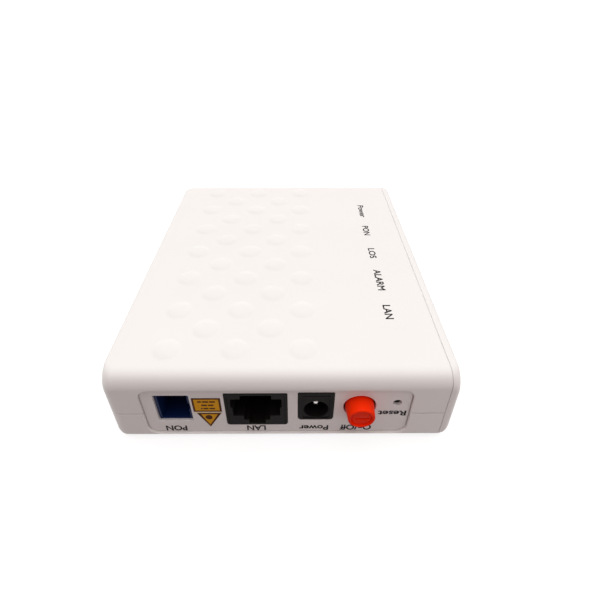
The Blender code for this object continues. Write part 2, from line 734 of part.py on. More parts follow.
def make_reset_button():
    """Tactile switch behind the pinhole. Its plunger travels along +Y."""
    x, z = RESET
    bm = bmesh.new()
    rod(bm, (x, RESET_TIP_Y, z), (x, RESET_TIP_Y + 3.6, z), RESET_PLUNGER_RADIUS)
    plunger = add_part("reset_plunger", bm, "plunger_grey", smooth=True)
    add_joint_empty("reset_button_axis", (x, RESET_TIP_Y, z), (plunger,))

    front = RESET_TIP_Y + 2.0
    bm = bmesh.new()
    box(bm, (x - 3, front, z - 3), (x + 3, front + 3.6, UNDER_BOARD))
    body = add_part("reset_switch_body", bm, "nickel")
    bore = bmesh.new()
    rod(bore, (x, front - 1, z), (x, RESET_TIP_Y + 4.2, z), RESET_PLUNGER_RADIUS + GAP)
    combine(body, add_cutter("reset_bore", bore), "DIFFERENCE")


# ---------------------------------------------------------------- electronics

def make_board():
    """Circuit board with clearance for the screws and the shells' bosses."""
    bm = bmesh.new()
    box(bm, (BOARD_LEFT, BOARD_FRONT, BOARD_LOW), (BOARD_RIGHT, BOARD_BACK, BOARD_HIGH))
    board = add_part("circuit_board", bm, "circuit_green")
    holes = bmesh.new()
    for x, y in CASE_SCREWS:
        rod(holes, (x, y, BOARD_LOW - 1), (x, y, BOARD_HIGH + 1), 3.3)
    for x, y in BOARD_SCREWS:
        rod(holes, (x, y, BOARD_LOW - 1), (x, y, BOARD_HIGH + 1), 1.3)
    combine(board, add_cutter("board_holes", holes), "DIFFERENCE")


def hang_block(name, centre, size, finish):
    """A block that hangs under the board: size in x, y and its height."""
    x, y = centre
    width, depth, height = size
    bm = bmesh.new()
    low = (x - width / 2, y - depth / 2, UNDER_BOARD - height)
    box(bm, low, (x + width / 2, y + depth / 2, UNDER_BOARD))
    part = add_part(name, bm, finish)
    soften(part, 0.15)


def make_heat_sink(centre, base, width, top, base_height, fins, fin_height):
    """Comb-shaped extrusion whose fins point down."""
    x, y = centre
    pitch = (width - base) / (fins - 1)
    outline = [(x + width / 2, top), (x - width / 2, top)]
    for fin in range(fins):
        left = x - width / 2 + fin * pitch
        outline.append((left, top - base_height if fin else top - base_height - fin_height))
        if fin:
            outline.append((left, top - base_height - fin_height))
        outline.append((left + base, top - base_height - fin_height))
        if fin < fins - 1:
            outline.append((left + base, top - base_height))
    bm = bmesh.new()
    ring = [bm.verts.new(place((px, y - width / 2, pz))) for px, pz in outline]
    face = bm.faces.new(ring)
    grown = bmesh.ops.extrude_face_region(bm, geom=[face])["geom"]
    moved = [item for item in grown if isinstance(item, bmesh.types.BMVert)]
    bmesh.ops.translate(bm, verts=moved, vec=(0, width * MM, 0))
    add_part("heat_sink", bm, "aluminium")


def make_electronics():
    """Chips, magnetics and power parts under the board."""
    chip = (2.0, 62.0)
    hang_block("main_chip", chip, (17, 17, 1.4), "chip_resin")
    pad_top = UNDER_BOARD - 1.4 - GAP
    bm = bmesh.new()
    box(bm, (chip[0] - 7, chip[1] - 7, pad_top - 0.5), (chip[0] + 7, chip[1] + 7, pad_top))
    add_part("thermal_pad", bm, "thermal_grey")
    make_heat_sink(chip, 1.0, 22, pad_top - 0.5 - GAP, 1.2, 7, 4.0)
    hang_block("memory_chip", (2, 86), (13, 8, 1.1), "chip_resin")
    hang_block("flash_chip", (25, 66), (5.3, 7.9, 1.8), "chip_resin")
    hang_block("lan_transformer", (LAN_X, 32), (12.7, 9.5, 5.5), "chip_resin")
    hang_block("power_inductor", (9, 23), (7, 7, 4), "ferrite")
    for number, x in enumerate((16, 25), 1):
        bm = bmesh.new()
        rod(bm, (x, 33, UNDER_BOARD - 7.7), (x, 33, UNDER_BOARD), 3.15, segments=20)
        add_part(f"capacitor_{number}", bm, "capacitor_sleeve", smooth=True)
    bm = bmesh.new()
    rounded_bar(bm, (-27.5, 59.6, UNDER_BOARD - 3.5), (-16.5, 64.3, UNDER_BOARD), 2.3, along=2)
    add_part("crystal", bm, "nickel", smooth=True)


def make_lights():
    """Five lights on top of the board, and the baffle that keeps their light apart."""
    bm = bmesh.new()
    last = LED_FIRST_Y + LED_PITCH * (LED_COUNT - 1)
    low = (LED_X - 2.3, LED_FIRST_Y - 5, BOARD_HIGH + GAP)
    box(bm, low, (LED_X + 2.3, last + 5, CEILING - GAP))
    baffle = add_part("light_baffle", bm, "black_plastic")
    wells = bmesh.new()
    for number in range(LED_COUNT):
        y = LED_FIRST_Y + number * LED_PITCH
        rod(wells, (LED_X, y, BOARD_HIGH - 1), (LED_X, y, CEILING + 1), 1.7)
        bm = bmesh.new()
        low = (LED_X - 1.0, y - 0.65, BOARD_HIGH + GAP)
        box(bm, low, (LED_X + 1.0, y + 0.65, BOARD_HIGH + GAP + 0.8))
        add_part(f"led_{number + 1}", bm, "led_resin")
    combine(baffle, add_cutter("light_wells", wells), "DIFFERENCE")


def build():
    """Make every piece of the terminal."""
    cavity = shell_cavity()
    window = panel_window()
    make_upper_shell(cavity, window)
    make_lower_shell(cavity, window)
    make_side_cap()
    make_feet()
    make_screws()
    make_panel()
    make_sticker()
    make_lan_jack()
    make_power_jack()
    make_fibre_port()
    make_power_button()
    make_reset_button()
    make_board()
    make_electronics()
    make_lights()


clear_scene()
PARTS = new_collection("optical_network_terminal")
CUTTERS = new_collection("cutters")
MATERIALS = make_materials()
build()
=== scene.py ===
import json
import math

import bmesh
import bpy
from mathutils import Matrix, Vector


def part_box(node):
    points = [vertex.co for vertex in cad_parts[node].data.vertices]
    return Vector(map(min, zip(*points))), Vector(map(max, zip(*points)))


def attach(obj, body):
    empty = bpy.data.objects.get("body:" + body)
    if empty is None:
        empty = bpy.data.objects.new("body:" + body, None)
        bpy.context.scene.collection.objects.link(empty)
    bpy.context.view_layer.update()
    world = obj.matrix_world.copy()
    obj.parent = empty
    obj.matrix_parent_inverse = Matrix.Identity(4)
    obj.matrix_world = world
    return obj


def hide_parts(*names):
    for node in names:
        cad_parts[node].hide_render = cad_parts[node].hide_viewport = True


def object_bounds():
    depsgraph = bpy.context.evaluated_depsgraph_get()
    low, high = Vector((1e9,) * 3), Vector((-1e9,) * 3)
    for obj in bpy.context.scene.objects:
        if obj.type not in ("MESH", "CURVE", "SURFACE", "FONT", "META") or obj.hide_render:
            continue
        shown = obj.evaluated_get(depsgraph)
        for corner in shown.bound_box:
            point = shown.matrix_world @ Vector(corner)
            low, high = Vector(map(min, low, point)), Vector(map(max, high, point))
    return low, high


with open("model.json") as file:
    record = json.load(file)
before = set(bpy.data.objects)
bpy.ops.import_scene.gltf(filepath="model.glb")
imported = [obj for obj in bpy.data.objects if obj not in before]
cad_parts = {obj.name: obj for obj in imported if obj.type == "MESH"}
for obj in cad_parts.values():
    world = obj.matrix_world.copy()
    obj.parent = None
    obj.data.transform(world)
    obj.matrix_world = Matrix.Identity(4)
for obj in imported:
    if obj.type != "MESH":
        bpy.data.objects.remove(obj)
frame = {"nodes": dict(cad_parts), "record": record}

# Looks of the optical network terminal: a small white case with a dimpled cover, a recessed
# panel of ports on its front, an orange power button and a separate plate on its right end.
#
# Lengths are in millimetres, in case coordinates: x from the middle of the case, y behind its
# front face, z above the underside of its lower shell. at() turns them into the frame's metres.

CAD_LOW, CAD_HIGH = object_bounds()
MM = 0.001
ORIGIN = Vector((0.0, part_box("lower_shell")[0].y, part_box("lower_shell")[0].z))


def at(x, y, z):
    """Case coordinates to the frame's metres."""
    return ORIGIN + Vector((x, y, z)) * MM


def case_box(node):
    """Lowest and highest corner of a CAD node in case coordinates."""
    return [(corner - ORIGIN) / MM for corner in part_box(node)]


# ---------------------------------------------------------------- sizes taken from the frame

LEFT, _, _ = case_box("upper_shell")[0]
SEAM = (case_box("upper_shell")[1].x + case_box("side_cap")[0].x) / 2
RIGHT, DEPTH, HEIGHT = case_box("side_cap")[1]
UPPER_LOW = case_box("upper_shell")[0].z
DOME_HEIGHT = case_box("upper_shell")[1].z - HEIGHT
PANEL_LOW, PANEL_HIGH = case_box("connector_panel")
LAN_LOW, LAN_HIGH = case_box("lan_jack_housing")
LAN_X = (LAN_LOW.x + LAN_HIGH.x) / 2
DC_LOW, DC_HIGH = case_box("power_jack_housing")
PIN_LOW, PIN_HIGH = case_box("power_jack_pin")
PIN_X = (PIN_LOW.x + PIN_HIGH.x) / 2
PIN_Z = (PIN_LOW.z + PIN_HIGH.z) / 2
PON_LOW, PON_HIGH = case_box("pon_receptacle")
PON_X = (PON_LOW.x + PON_HIGH.x) / 2
PON_Z = (PON_LOW.z + PON_HIGH.z) / 2
BUTTON_LOW, BUTTON_HIGH = case_box("power_button_cap")
BUTTON_X = (BUTTON_LOW.x + BUTTON_HIGH.x) / 2
BUTTON_Z = (BUTTON_LOW.z + BUTTON_HIGH.z) / 2
RESET_LOW, RESET_HIGH = case_box("reset_plunger")
RESET_X = (RESET_LOW.x + RESET_HIGH.x) / 2
RESET_Z = (RESET_LOW.z + RESET_HIGH.z) / 2

# ---------------------------------------------------------------- sizes of the case

WALL = 1.8
FINE_EDGE = 0.2
TOOL_MARGIN = 3.0                 # how far a cutter reaches past the case's sides
TOOL_REACH = 40                   # and past its top or bottom
TOP_EDGE = 4.2                    # edges along the front and the back
BOTTOM_EDGE = 1.5
LEFT_EDGES = (3.0, 1.1, 2.5)      # edges of an end face at its sides, top and bottom
CAP_EDGES = (1.6, 1.3, 2.2)
CAVITY_EDGES = (1.2, 0.5, 0.5)
CAP_BOTTOM_STRETCH = 1.4          # the end plate's lower edge is taller than it is wide
DRAFT = 0.009                     # lean of the end walls above the parting line
CORNER_SWELL = 2.2                # extra rounding of the outline's corners at an end face
CORNER_SWELL_REACH = 4.5
SWELLING_FROM = 1.5               # an end face swells only if its edges are rounder than this

PARTING = UPPER_LOW - 0.15
PARTING_GAP = 0.22
LIP_INSET, LIP_RISE = 1.2, 1.5    # the lower shell's lip, which stands in the cover's rebate
REBATE_INSET, REBATE_RISE = 0.9, 1.8

SEAM_GROOVE = 0.1                 # width of the groove between the shells and the end plate
SEAM_DEPTH = 0.3                  # depth of the groove, down to the step on the end plate
SEAM_EDGES = (FINE_EDGE, FINE_EDGE, FINE_EDGE)
STEP_EDGES = (0.0, 0.0, 0.0)

CORNER_STEPS = 14
END_STEPS = 12
FINE_END = 0.5                    # a right end with smaller edges than this needs fewer steps
FINE_END_STEPS = 5

DOME_RADIUS = 3.65
DOME_REACH = 1.5 * DOME_RADIUS    # further than this from every dome the cover is flat
DOME_RIM = 0.008                  # softness of the domes' rims
DOME_COLUMN_X = -29.7
DOME_COLUMN_PITCH = 8.83
DOME_FIRST_Y = 10.2
DOME_ROW_PITCH = 15.6
DOME_ROWS = (7, 6, 7, 6, 7)
DOME_GRID = 0.45                  # size of the cover's faces

SEAT_GAP, SEAT_DEPTH = 0.2, 0.7   # seats of the rubber feet
WELL_RADIUS, WELL_DEPTH = 2.4, 3.0
VENT_ROWS = 12
VENT_FIRST_Y = 38
VENT_PITCH = 3.6
VENT_BANK_X = 14                  # middle of a bank of slots, to each side
VENT_HALF = (11, 0.8)
VENT_CORNER = 0.79

# ---------------------------------------------------------------- sizes of the port panel

WINDOW_MARGIN = 0.3               # of the recess around the connector panel
WINDOW_CORNER = 3.0
WINDOW_DEPTH = 4.0
WINDOW_EDGE = 0.3
PANEL_GAP = 0.16
JACK_GAP = 0.1                    # around the two black jacks
LAN_MOUTH_END = 13.0
LAN_GROOVE_X = 7.3                # of the fine grooves, to each side of the jack's middle
LAN_GROOVE_Z = (5.2, 15.4)
CARRIER_LOW = Vector((-5.7, 11.4, 8.3))       # from the jack's middle
CARRIER_HIGH = Vector((5.7, 12.9, 14.6))
COMB_LOW = Vector((-0.3, 10.0, 9.0))          # of a slot, from its contact's middle
COMB_HIGH = Vector((0.3, 12.4, 16.0))
BUTTON_HOLE = 4.15
RESET_HOLE = 1.15
RESET_RIM = 1.15                  # thickness of the panel around the pinhole
RESET_STEP = 1.6                  # growth of the wider hole behind it
DC_MOUTH = 3.15
DC_MOUTH_DEPTH = 11.3
DC_FIELD_DEPTH = 0.22
DC_FIELD_INSETS = (1.15, 0.95)    # from the housing's left and right edges
PON_HALF = (4.5, 5.085)           # half width and half height of the opening in the panel
PON_CAVITY = (3.725, 4.525)       # and of the receptacle's inside
PON_NOZZLE_END = 2.55
PON_CAVITY_END = 20.0

SHARP_ANGLE = math.radians(35)


# ---------------------------------------------------------------- materials

MIX_FACTOR, MIX_FIRST, MIX_SECOND, MIX_RESULT = 0, 6, 7, 2      # colour sockets of a Mix node


def new_material(name):
    """An empty node material with a Principled shader."""
    material = bpy.data.materials.new(name)
    material.use_nodes = True
    tree = material.node_tree
    return material, tree, tree.nodes["Principled BSDF"]


def add_node(tree, kind, **values):
    """A shader node with some of its inputs and settings given."""
    node = tree.nodes.new(kind)
    for key, value in values.items():
        if key in node.inputs:
            node.inputs[key].default_value = value
        else:
            setattr(node, key, value)
    return node


def noise(tree, scale, detail=3.0, roughness=0.5):
    """Noise in object space."""
    coordinates = add_node(tree, "ShaderNodeTexCoord")
    texture = add_node(tree, "ShaderNodeTexNoise", Scale=scale, Detail=detail, Roughness=roughness)
    tree.links.new(coordinates.outputs["Object"], texture.inputs["Vector"])
    return texture.outputs["Fac"]


def spread(tree, value, low, high):
    """A noise value stretched between two limits."""
    ranged = add_node(tree, "ShaderNodeMapRange")
    ranged.inputs["From Min"].default_value = 0.3
    ranged.inputs["From Max"].default_value = 0.7
    ranged.inputs["To Min"].default_value = low
    ranged.inputs["To Max"].default_value = high
    tree.links.new(value, ranged.inputs["Value"])
    return ranged.outputs["Result"]


def feed(tree, value, socket):
    """Link a node's output to an input, or give the input a number or a colour."""
    if isinstance(value, bpy.types.NodeSocket):
        tree.links.new(value, socket)
    elif isinstance(value, tuple):
        socket.default_value = (*value, 1.0)
    else:
        socket.default_value = value


def blend_colours(tree, factor, first, second, blend="MIX"):
    """A colour that runs from the first to the second with a factor, or their sum."""
    mix = add_node(tree, "ShaderNodeMix", data_type="RGBA", blend_type=blend)
    feed(tree, factor, mix.inputs[MIX_FACTOR])
    feed(tree, first, mix.inputs[MIX_FIRST])
    feed(tree, second, mix.inputs[MIX_SECOND])
    return mix.outputs[MIX_RESULT]


def bump(tree, height, strength, distance):
    """A normal bent by a height field; distance is in millimetres."""
    node = add_node(tree, "ShaderNodeBump", Strength=strength, Distance=distance * MM)
    tree.links.new(height, node.inputs["Height"])
    return node.outputs["Normal"]


def shade(colour, factor):
    """A colour made lighter or darker."""
    return tuple(min(1.0, channel * factor) for channel in colour)


def moulded(name, colour, roughness, grain, relief, variation, specular):
    """Injection-moulded plastic: faint mottling, a fine spark-eroded grain and uneven gloss."""
    material, tree, shader = new_material(name)
    cloud = spread(tree, noise(tree, 45, 4.0), 0.0, 1.0)
    pair = (shade(colour, 1 - variation), shade(colour, 1 + variation))
    tree.links.new(blend_colours(tree, cloud, *pair), shader.inputs["Base Color"])
    gloss = spread(tree, noise(tree, 160, 3.0), roughness - 0.04, roughness + 0.05)
    tree.links.new(gloss, shader.inputs["Roughness"])
    grain_field = noise(tree, grain, 2.0, 0.6)
    tree.links.new(bump(tree, grain_field, 0.5, relief), shader.inputs["Normal"])
    shader.inputs["Specular IOR Level"].default_value = specular
    return material


def plated(name, colour, roughness, scratch):
    """Plated or drawn metal with fine directional scratches."""
    material, tree, shader = new_material(name)
    coordinates = add_node(tree, "ShaderNodeTexCoord")
    stretch = add_node(tree, "ShaderNodeMapping", Scale=(1.0, 0.12, 1.0))
    texture = add_node(tree, "ShaderNodeTexNoise", Scale=scratch, Detail=4.0)
    tree.links.new(coordinates.outputs["Object"], stretch.inputs["Vector"])
    tree.links.new(stretch.outputs["Vector"], texture.inputs["Vector"])
    field = texture.outputs["Fac"]
    shader.inputs["Metallic"].default_value = 1.0
    tint = blend_colours(tree, spread(tree, field, 0.0, 1.0), shade(colour, 0.86), colour)
    tree.links.new(tint, shader.inputs["Base Color"])
    gloss = spread(tree, field, roughness - 0.05, roughness + 0.1)
    tree.links.new(gloss, shader.inputs["Roughness"])
    tree.links.new(bump(tree, field, 0.25, 0.01), shader.inputs["Normal"])
    return material


def printed(name, colour, roughness):
    """Pad-printed ink with a slightly uneven film."""
    material, tree, shader = new_material(name)
    film = spread(tree, noise(tree, 2200, 3.0), 0.0, 1.0)
    pair = (shade(colour, 0.88), shade(colour, 1.12))
    tree.links.new(blend_colours(tree, film, *pair), shader.inputs["Base Color"])
    gloss = spread(tree, noise(tree, 700), roughness - 0.05, roughness + 0.08)
    tree.links.new(gloss, shader.inputs["Roughness"])
    tree.links.new(bump(tree, noise(tree, 3000), 0.3, 0.004), shader.inputs["Normal"])
    shader.inputs["Specular IOR Level"].default_value = 0.07
    return material


def circuit_mask(name):
    """Green solder mask with a pattern of tracks under it."""
    material, tree, shader = new_material(name)
    coordinates = add_node(tree, "ShaderNodeTexCoord")
    tracks = add_node(tree, "ShaderNodeTexBrick", Scale=260.0, offset=0.37)
    tracks.inputs["Color1"].default_value = (0.015, 0.14, 0.05, 1.0)
    tracks.inputs["Color2"].default_value = (0.02, 0.17, 0.06, 1.0)
    tracks.inputs["Mortar"].default_value = (0.04, 0.26, 0.09, 1.0)
    tracks.inputs["Mortar Size"].default_value = 0.05
    tree.links.new(coordinates.outputs["Object"], tracks.inputs["Vector"])
    tree.links.new(tracks.outputs["Color"], shader.inputs["Base Color"])
    tree.links.new(spread(tree, noise(tree, 300), 0.3, 0.45), shader.inputs["Roughness"])
    tree.links.new(bump(tree, tracks.outputs["Fac"], 0.4, 0.03), shader.inputs["Normal"])
    return material


# Colour, roughness, grain, relief of the grain, variation of the colour, and specular level
MOULDED = {
    "white_plastic": ((0.84, 0.825, 0.81), 0.36, 2600, 0.006, 0.008, 0.5),
    "panel_plastic": ((0.83, 0.815, 0.805), 0.45, 2600, 0.006, 0.012, 0.5),
    "black_plastic": ((0.009, 0.0078, 0.0074), 0.5, 1800, 0.01, 0.15, 0.07),
    "blue_plastic": ((0.002, 0.014, 0.075), 0.45, 1800, 0.01, 0.1, 0.2),
    "orange_plastic": ((0.97, 0.028, 0.0004), 0.4, 2000, 0.008, 0.03, 0.05),
    "grey_rubber": ((0.06, 0.06, 0.06), 0.8, 1200, 0.03, 0.12, 0.3),
    "zirconia": ((0.75, 0.74, 0.70), 0.35, 1800, 0.004, 0.03, 0.5),
    "plunger_grey": ((0.32, 0.26, 0.25), 0.5, 2400, 0.006, 0.06, 0.2),
    "chip_resin": ((0.028, 0.028, 0.03), 0.6, 2600, 0.02, 0.15, 0.5),
    "thermal_grey": ((0.32, 0.34, 0.37), 0.85, 1500, 0.03, 0.08, 0.3),
    "ferrite": ((0.06, 0.06, 0.06), 0.75, 1500, 0.03, 0.15, 0.3),
    "capacitor_sleeve": ((0.03, 0.04, 0.09), 0.3, 900, 0.01, 0.1, 0.5),
    "led_resin": ((0.72, 0.76, 0.58), 0.25, 1500, 0.004, 0.03, 0.5),
}

# Colour, roughness and scale of the scratches
PLATED = {
    "screw_steel": ((0.55, 0.55, 0.56), 0.35, 900),
    "nickel": ((0.72, 0.70, 0.67), 0.24, 900),
    "gold_contact": ((0.90, 0.66, 0.28), 0.22, 1500),
    "aluminium": ((0.66, 0.67, 0.69), 0.38, 900),
}

# Colour and roughness
PRINTED = {
    "sticker_yellow": ((0.80, 0.385, 0.005), 0.5),
    "sticker_brown": ((0.085, 0.028, 0.006), 0.55),
    "sticker_pale": ((0.85, 0.70, 0.45), 0.5),
    "sticker_dash": ((0.11, 0.04, 0.008), 0.55),
    "legend_ink": ((0.018, 0.018, 0.020), 0.55),
}


def make_materials():
    """One material for each of the record's slots, and the ones that only print uses."""
    made = {name: moulded(name, *values) for name, values in MOULDED.items()}
    made.update({name: plated(name, *values) for name, values in PLATED.items()})
    made.update({name: printed(name, *values) for name, values in PRINTED.items()})
    made["circuit_green"] = circuit_mask("circuit_green")
    return made


# ---------------------------------------------------------------- mesh helpers

def new_object(name, bm, material=None):
    """A mesh object from a bmesh, with its faces turned outwards."""
    bmesh.ops.recalc_face_normals(bm, faces=bm.faces)
    mesh = bpy.data.meshes.new(name)
    bm.to_mesh(mesh)
    bm.free()
    item = bpy.data.objects.new(name, mesh)
    bpy.context.scene.collection.objects.link(item)
    if material:
        mesh.materials.append(MATERIALS[material])
    return item


def carve(target, tools, operation="DIFFERENCE"):
    """Cut a mesh with some tools, or join them to it, and keep the result as its mesh."""
    for tool in tools:
        modifier = target.modifiers.new(tool.name, "BOOLEAN")
        modifier.operation = operation
        modifier.solver = "EXACT"
        modifier.object = tool
    apply_modifiers(target)
    for tool in tools:
        bpy.data.objects.remove(tool)


def apply_modifiers(item):
    """Replace an object's mesh by what its modifiers make of it."""
    evaluated = item.evaluated_get(bpy.context.evaluated_depsgraph_get())
    mesh = bpy.data.meshes.new_from_object(evaluated)
    item.modifiers.clear()
    item.data = mesh


def finish_piece(item, body="case", stands_for=()):
    """Smooth shading with flat faces kept flat, and the piece's place in the frame."""
    item.data.shade_smooth()
    item.data.set_sharp_from_angle(angle=SHARP_ANGLE)
    weighted = item.modifiers.new("weighted_normals", "WEIGHTED_NORMAL")
    weighted.keep_sharp = True
    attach(item, body)
    if stands_for:
        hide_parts(*stands_for)
    return item


def join_loops(bm, loops):
    """Faces between each loop of vertices and the next one."""
    for loop, following in zip(loops, loops[1:]):
        for index in range(len(loop)):
            after = (index + 1) % len(loop)
            bm.faces.new((loop[index], loop[after], following[after], following[index]))


def ring_solid(bm, rings):
    """A closed solid through rings of points, capped at both ends."""
    loops = [[bm.verts.new(point) for point in ring] for ring in rings]
    join_loops(bm, loops)
    bm.faces.new(loops[0])
    bm.faces.new(loops[-1])


def tool_from_rings(name, rings):
    """A solid that only cuts other pieces."""
    bm = bmesh.new()
    ring_solid(bm, rings)
    return new_object(name, bm)


def block(bm, low, high):
    """A box between two corners."""
    low = at(*low)
    high = at(*high)
    matrix = Matrix.Translation((low + high) / 2) @ Matrix.Diagonal((*(high - low), 1.0))
    bmesh.ops.create_cube(bm, size=1.0, matrix=matrix)


def arc(u, v, radius, start, steps):
    """Points of a quarter circle from a start angle in degrees."""
    points = []
    for step in range(steps + 1):
        angle = math.radians(start + 90 * step / steps)
        points.append((u + radius * math.cos(angle), v + radius * math.sin(angle)))
    return points


def rounded_outline(low, high, lower_radius, upper_radius, grow=0.0, steps=6):
    """A rectangle with rounded corners, low and high in two axes, grown outwards."""
    left, bottom = low[0] - grow, low[1] - grow
    right, top = high[0] + grow, high[1] + grow
    lower = max(lower_radius + grow, 0.02)
    upper = max(upper_radius + grow, 0.02)
    points = arc(left + lower, bottom + lower, lower, 180, steps)
    points += arc(right - lower, bottom + lower, lower, 270, steps)
    points += arc(right - upper, top - upper, upper, 0, steps)
    points += arc(left + upper, top - upper, upper, 90, steps)
    return points


def circle_outline(u, v, radius, steps=48):
    """Points of a whole circle."""
    angles = [2 * math.pi * step / steps for step in range(steps)]
    return [(u + radius * math.cos(angle), v + radius * math.sin(angle)) for angle in angles]


def facing(points, y):
    """Points in x and z placed at a depth behind the front face."""
    return [at(x, y, z) for x, z in points]


def flare(radius, steps=4):
    """Growth and depth pairs of a rounded edge, from the face inwards."""
    pairs = []
    for step in range(steps + 1):
        angle = math.pi / 2 * step / steps
        pairs.append((radius * (1 - math.sin(angle)), radius * (1 - math.cos(angle))))
    return pairs


def rounded_shoulder(radius, start, edge, steps):
    """Radius and depth pairs of a turned part around its rounded front edge."""
    pairs = []
    for step in range(steps + 1):
        angle = math.pi / 2 * step / steps
        reach = radius - edge + edge * math.sin(angle)
        pairs.append((reach, start + edge - edge * math.cos(angle)))
    return pairs


def turned_rings(x, z, profile, steps):
    """Rings of a turned part along y. Its profile gives a radius at each depth."""
    return [facing(circle_outline(x, z, radius, steps), y) for radius, y in profile]


def hole_tool(name, outline, face_y, back_y, edge):
    """A cutter along y whose mouth has a rounded edge. outline(grow) gives its points.

    It starts in front of the face and a little wider, so that no faces coincide.
    """
    rings = [facing(outline(edge + 0.3), face_y - 1.0), facing(outline(edge + 0.05), face_y - 0.01)]
    rings += [facing(outline(grow), face_y + depth) for grow, depth in flare(edge)]
    rings.append(facing(outline(0.0), back_y))
    return tool_from_rings(name, rings)


def upright_tool(name, outline, high, edge):
    """A cutter up through the floor whose mouth on the underside has a rounded edge."""
    rings = [[at(x, y, -1.0) for x, y in outline(edge + 0.2)]]
    rings += [[at(x, y, depth) for x, y in outline(grow)] for grow, depth in flare(edge)]
    rings.append([at(x, y, high) for x, y in outline(0.0)])
    return tool_from_rings(name, rings)


def plug_rings(outline, face_y, back_y, edge):
    """Rings of a bar along y whose front edge is rounded."""
    rings = [facing(outline(depth - edge), face_y + grow) for grow, depth in reversed(flare(edge))]
    rings.append(facing(outline(0.0), back_y))
    return rings


# ---------------------------------------------------------------- case

def edge_inset(distance, radius):
    """How far a rounded edge has fallen back at a distance from the end face."""
    if radius <= 0.0 or distance >= radius:
        return 0.0
    return radius - math.sqrt(radius ** 2 - (radius - distance) ** 2)


def dome_centres():
    """Middle of each dome: every second column starts half a row further back."""
    for column, rows in enumerate(DOME_ROWS):
        stagger = DOME_ROW_PITCH / 2 if column % 2 else 0.0
        for row in range(rows):
            x = DOME_COLUMN_X + column * DOME_COLUMN_PITCH
            yield x, DOME_FIRST_Y + stagger + row * DOME_ROW_PITCH


DOMES = list(dome_centres())


def dome_rise(x, y):
    """Height of the cover above its plane: a shallow dome that falls faster towards its rim."""
    nearest = min(math.hypot(x - cx, y - cy) for cx, cy in DOMES)
    if nearest > DOME_REACH:
        return 0.0
    ratio = nearest / DOME_RADIUS
    cap = DOME_HEIGHT * (1 - 0.3 * ratio ** 2 - 0.7 * ratio ** 4)
    return 0.5 * (cap + math.hypot(cap, 2 * DOME_RIM)) * (1 - DOME_RIM ** 2 / DOME_HEIGHT ** 2)


def case_outline(insets, offset, top_steps, swell):
    """The case's outline in y and z, its faces moved in by insets at side, top and bottom."""
    side, top, bottom = insets
    upper = max(TOP_EDGE - offset - min(side, top), 0.3) + swell
    lower = max(BOTTOM_EDGE - offset - min(side, bottom), 0.3) + swell
    front, back = offset + side, DEPTH - offset - side
    low, high = offset + bottom, HEIGHT - offset - top
    points = arc(front + lower, low + lower, lower, 180, CORNER_STEPS)
    points += arc(back - lower, low + lower, lower, 270, CORNER_STEPS)
    points += arc(back - upper, high - upper, upper, 0, CORNER_STEPS)
    start, end = back - upper, front + upper
    for step in range(1, top_steps):
        points.append((start + (end - start) * step / top_steps, high))
    points += arc(front + upper, high - upper, upper, 90, CORNER_STEPS)
    return points


def end_gaps(edges, steps):
    """Distances from an end face that follow the largest of its rounded edges."""
    return [max(edges) * (1 - math.cos(math.pi / 2 * step / steps)) for step in range(steps + 1)]


def station(x, gap, edges, stretch=1.0):
    """A place along x, how far the outline's faces have fallen back there, and its swelling."""
    side, top, bottom = [edge_inset(gap, radius) for radius in edges]
    swell = 0.0
    if max(edges) > SWELLING_FROM:
        swell = CORNER_SWELL * edge_inset(gap, CORNER_SWELL_REACH) / CORNER_SWELL_REACH
    return x, (side, top, bottom * stretch), swell


def dome_stations():
    """Places along x that are close enough together to show the domes."""
    start = DOMES[0][0] - DOME_REACH
    count = int((DOMES[-1][0] + DOME_REACH - start) / DOME_GRID)
    return [(start + step * DOME_GRID, (0.0, 0.0, 0.0), 0.0) for step in range(count + 1)]


def leaning(x, z):
    """An end wall's x with its draft: the case narrows a little above the parting line."""
    return x * (1 - DRAFT * max(0.0, z - PARTING) / (HEIGHT - PARTING))


def case_rings(
    x_low, x_high, left_edges, right_edges, domed=False, offset=0.0, top_steps=1, stretch=1.0
):
    """Rings of the case's outline along x, with rounded ends and, if asked, the domes."""
    right_steps = FINE_END_STEPS if max(right_edges) < FINE_END else END_STEPS
    stations = [station(x_low + gap, gap, left_edges) for gap in end_gaps(left_edges, END_STEPS)]
    if domed:
        stations += dome_stations()
    for gap in reversed(end_gaps(right_edges, right_steps)):
        stations.append(station(x_high - gap, gap, right_edges, stretch))
    rings = []
    for x, insets, swell in stations:
        flat = HEIGHT - offset - insets[1] - 0.0001
        ring = []
        for y, z in case_outline(insets, offset, top_steps, swell):
            rise = dome_rise(x, y) if domed and z >= flat else 0.0
            ring.append(at(leaning(x, z), y, z + rise))
        rings.append(ring)
    return rings


def plan_ring(offset, z):
    """The shells' plan outline at a height, moved in by an offset."""
    corner = LEFT_EDGES[0]
    left = arc(LEFT + corner, corner, corner - offset, 180, 8)
    right = [(SEAM - offset, offset), (SEAM - offset, DEPTH - offset)]
    back = arc(LEFT + corner, DEPTH - corner, corner - offset, 90, 8)
    return [at(x, y, z) for x, y in left + right + back]


def parting_tool(name, level, towards):
    """Cuts away everything past a level, with the cut's outer edge rounded.

    towards is 1 if the kept part is above the level, and -1 if it is below.
    """
    far = level - towards * TOOL_REACH
    rings = [plan_ring(-TOOL_MARGIN, far), plan_ring(-TOOL_MARGIN, level + towards * FINE_EDGE)]
    for grow, depth in flare(FINE_EDGE):
        rings.append(plan_ring(depth - 0.005, level + towards * grow))
    return tool_from_rings(name, rings)


def cavity_tool():
    """The hollow inside the shells."""
    rings = case_rings(LEFT + WALL, SEAM - WALL, CAVITY_EDGES, CAVITY_EDGES, offset=WALL)
    return tool_from_rings("cavity", rings)


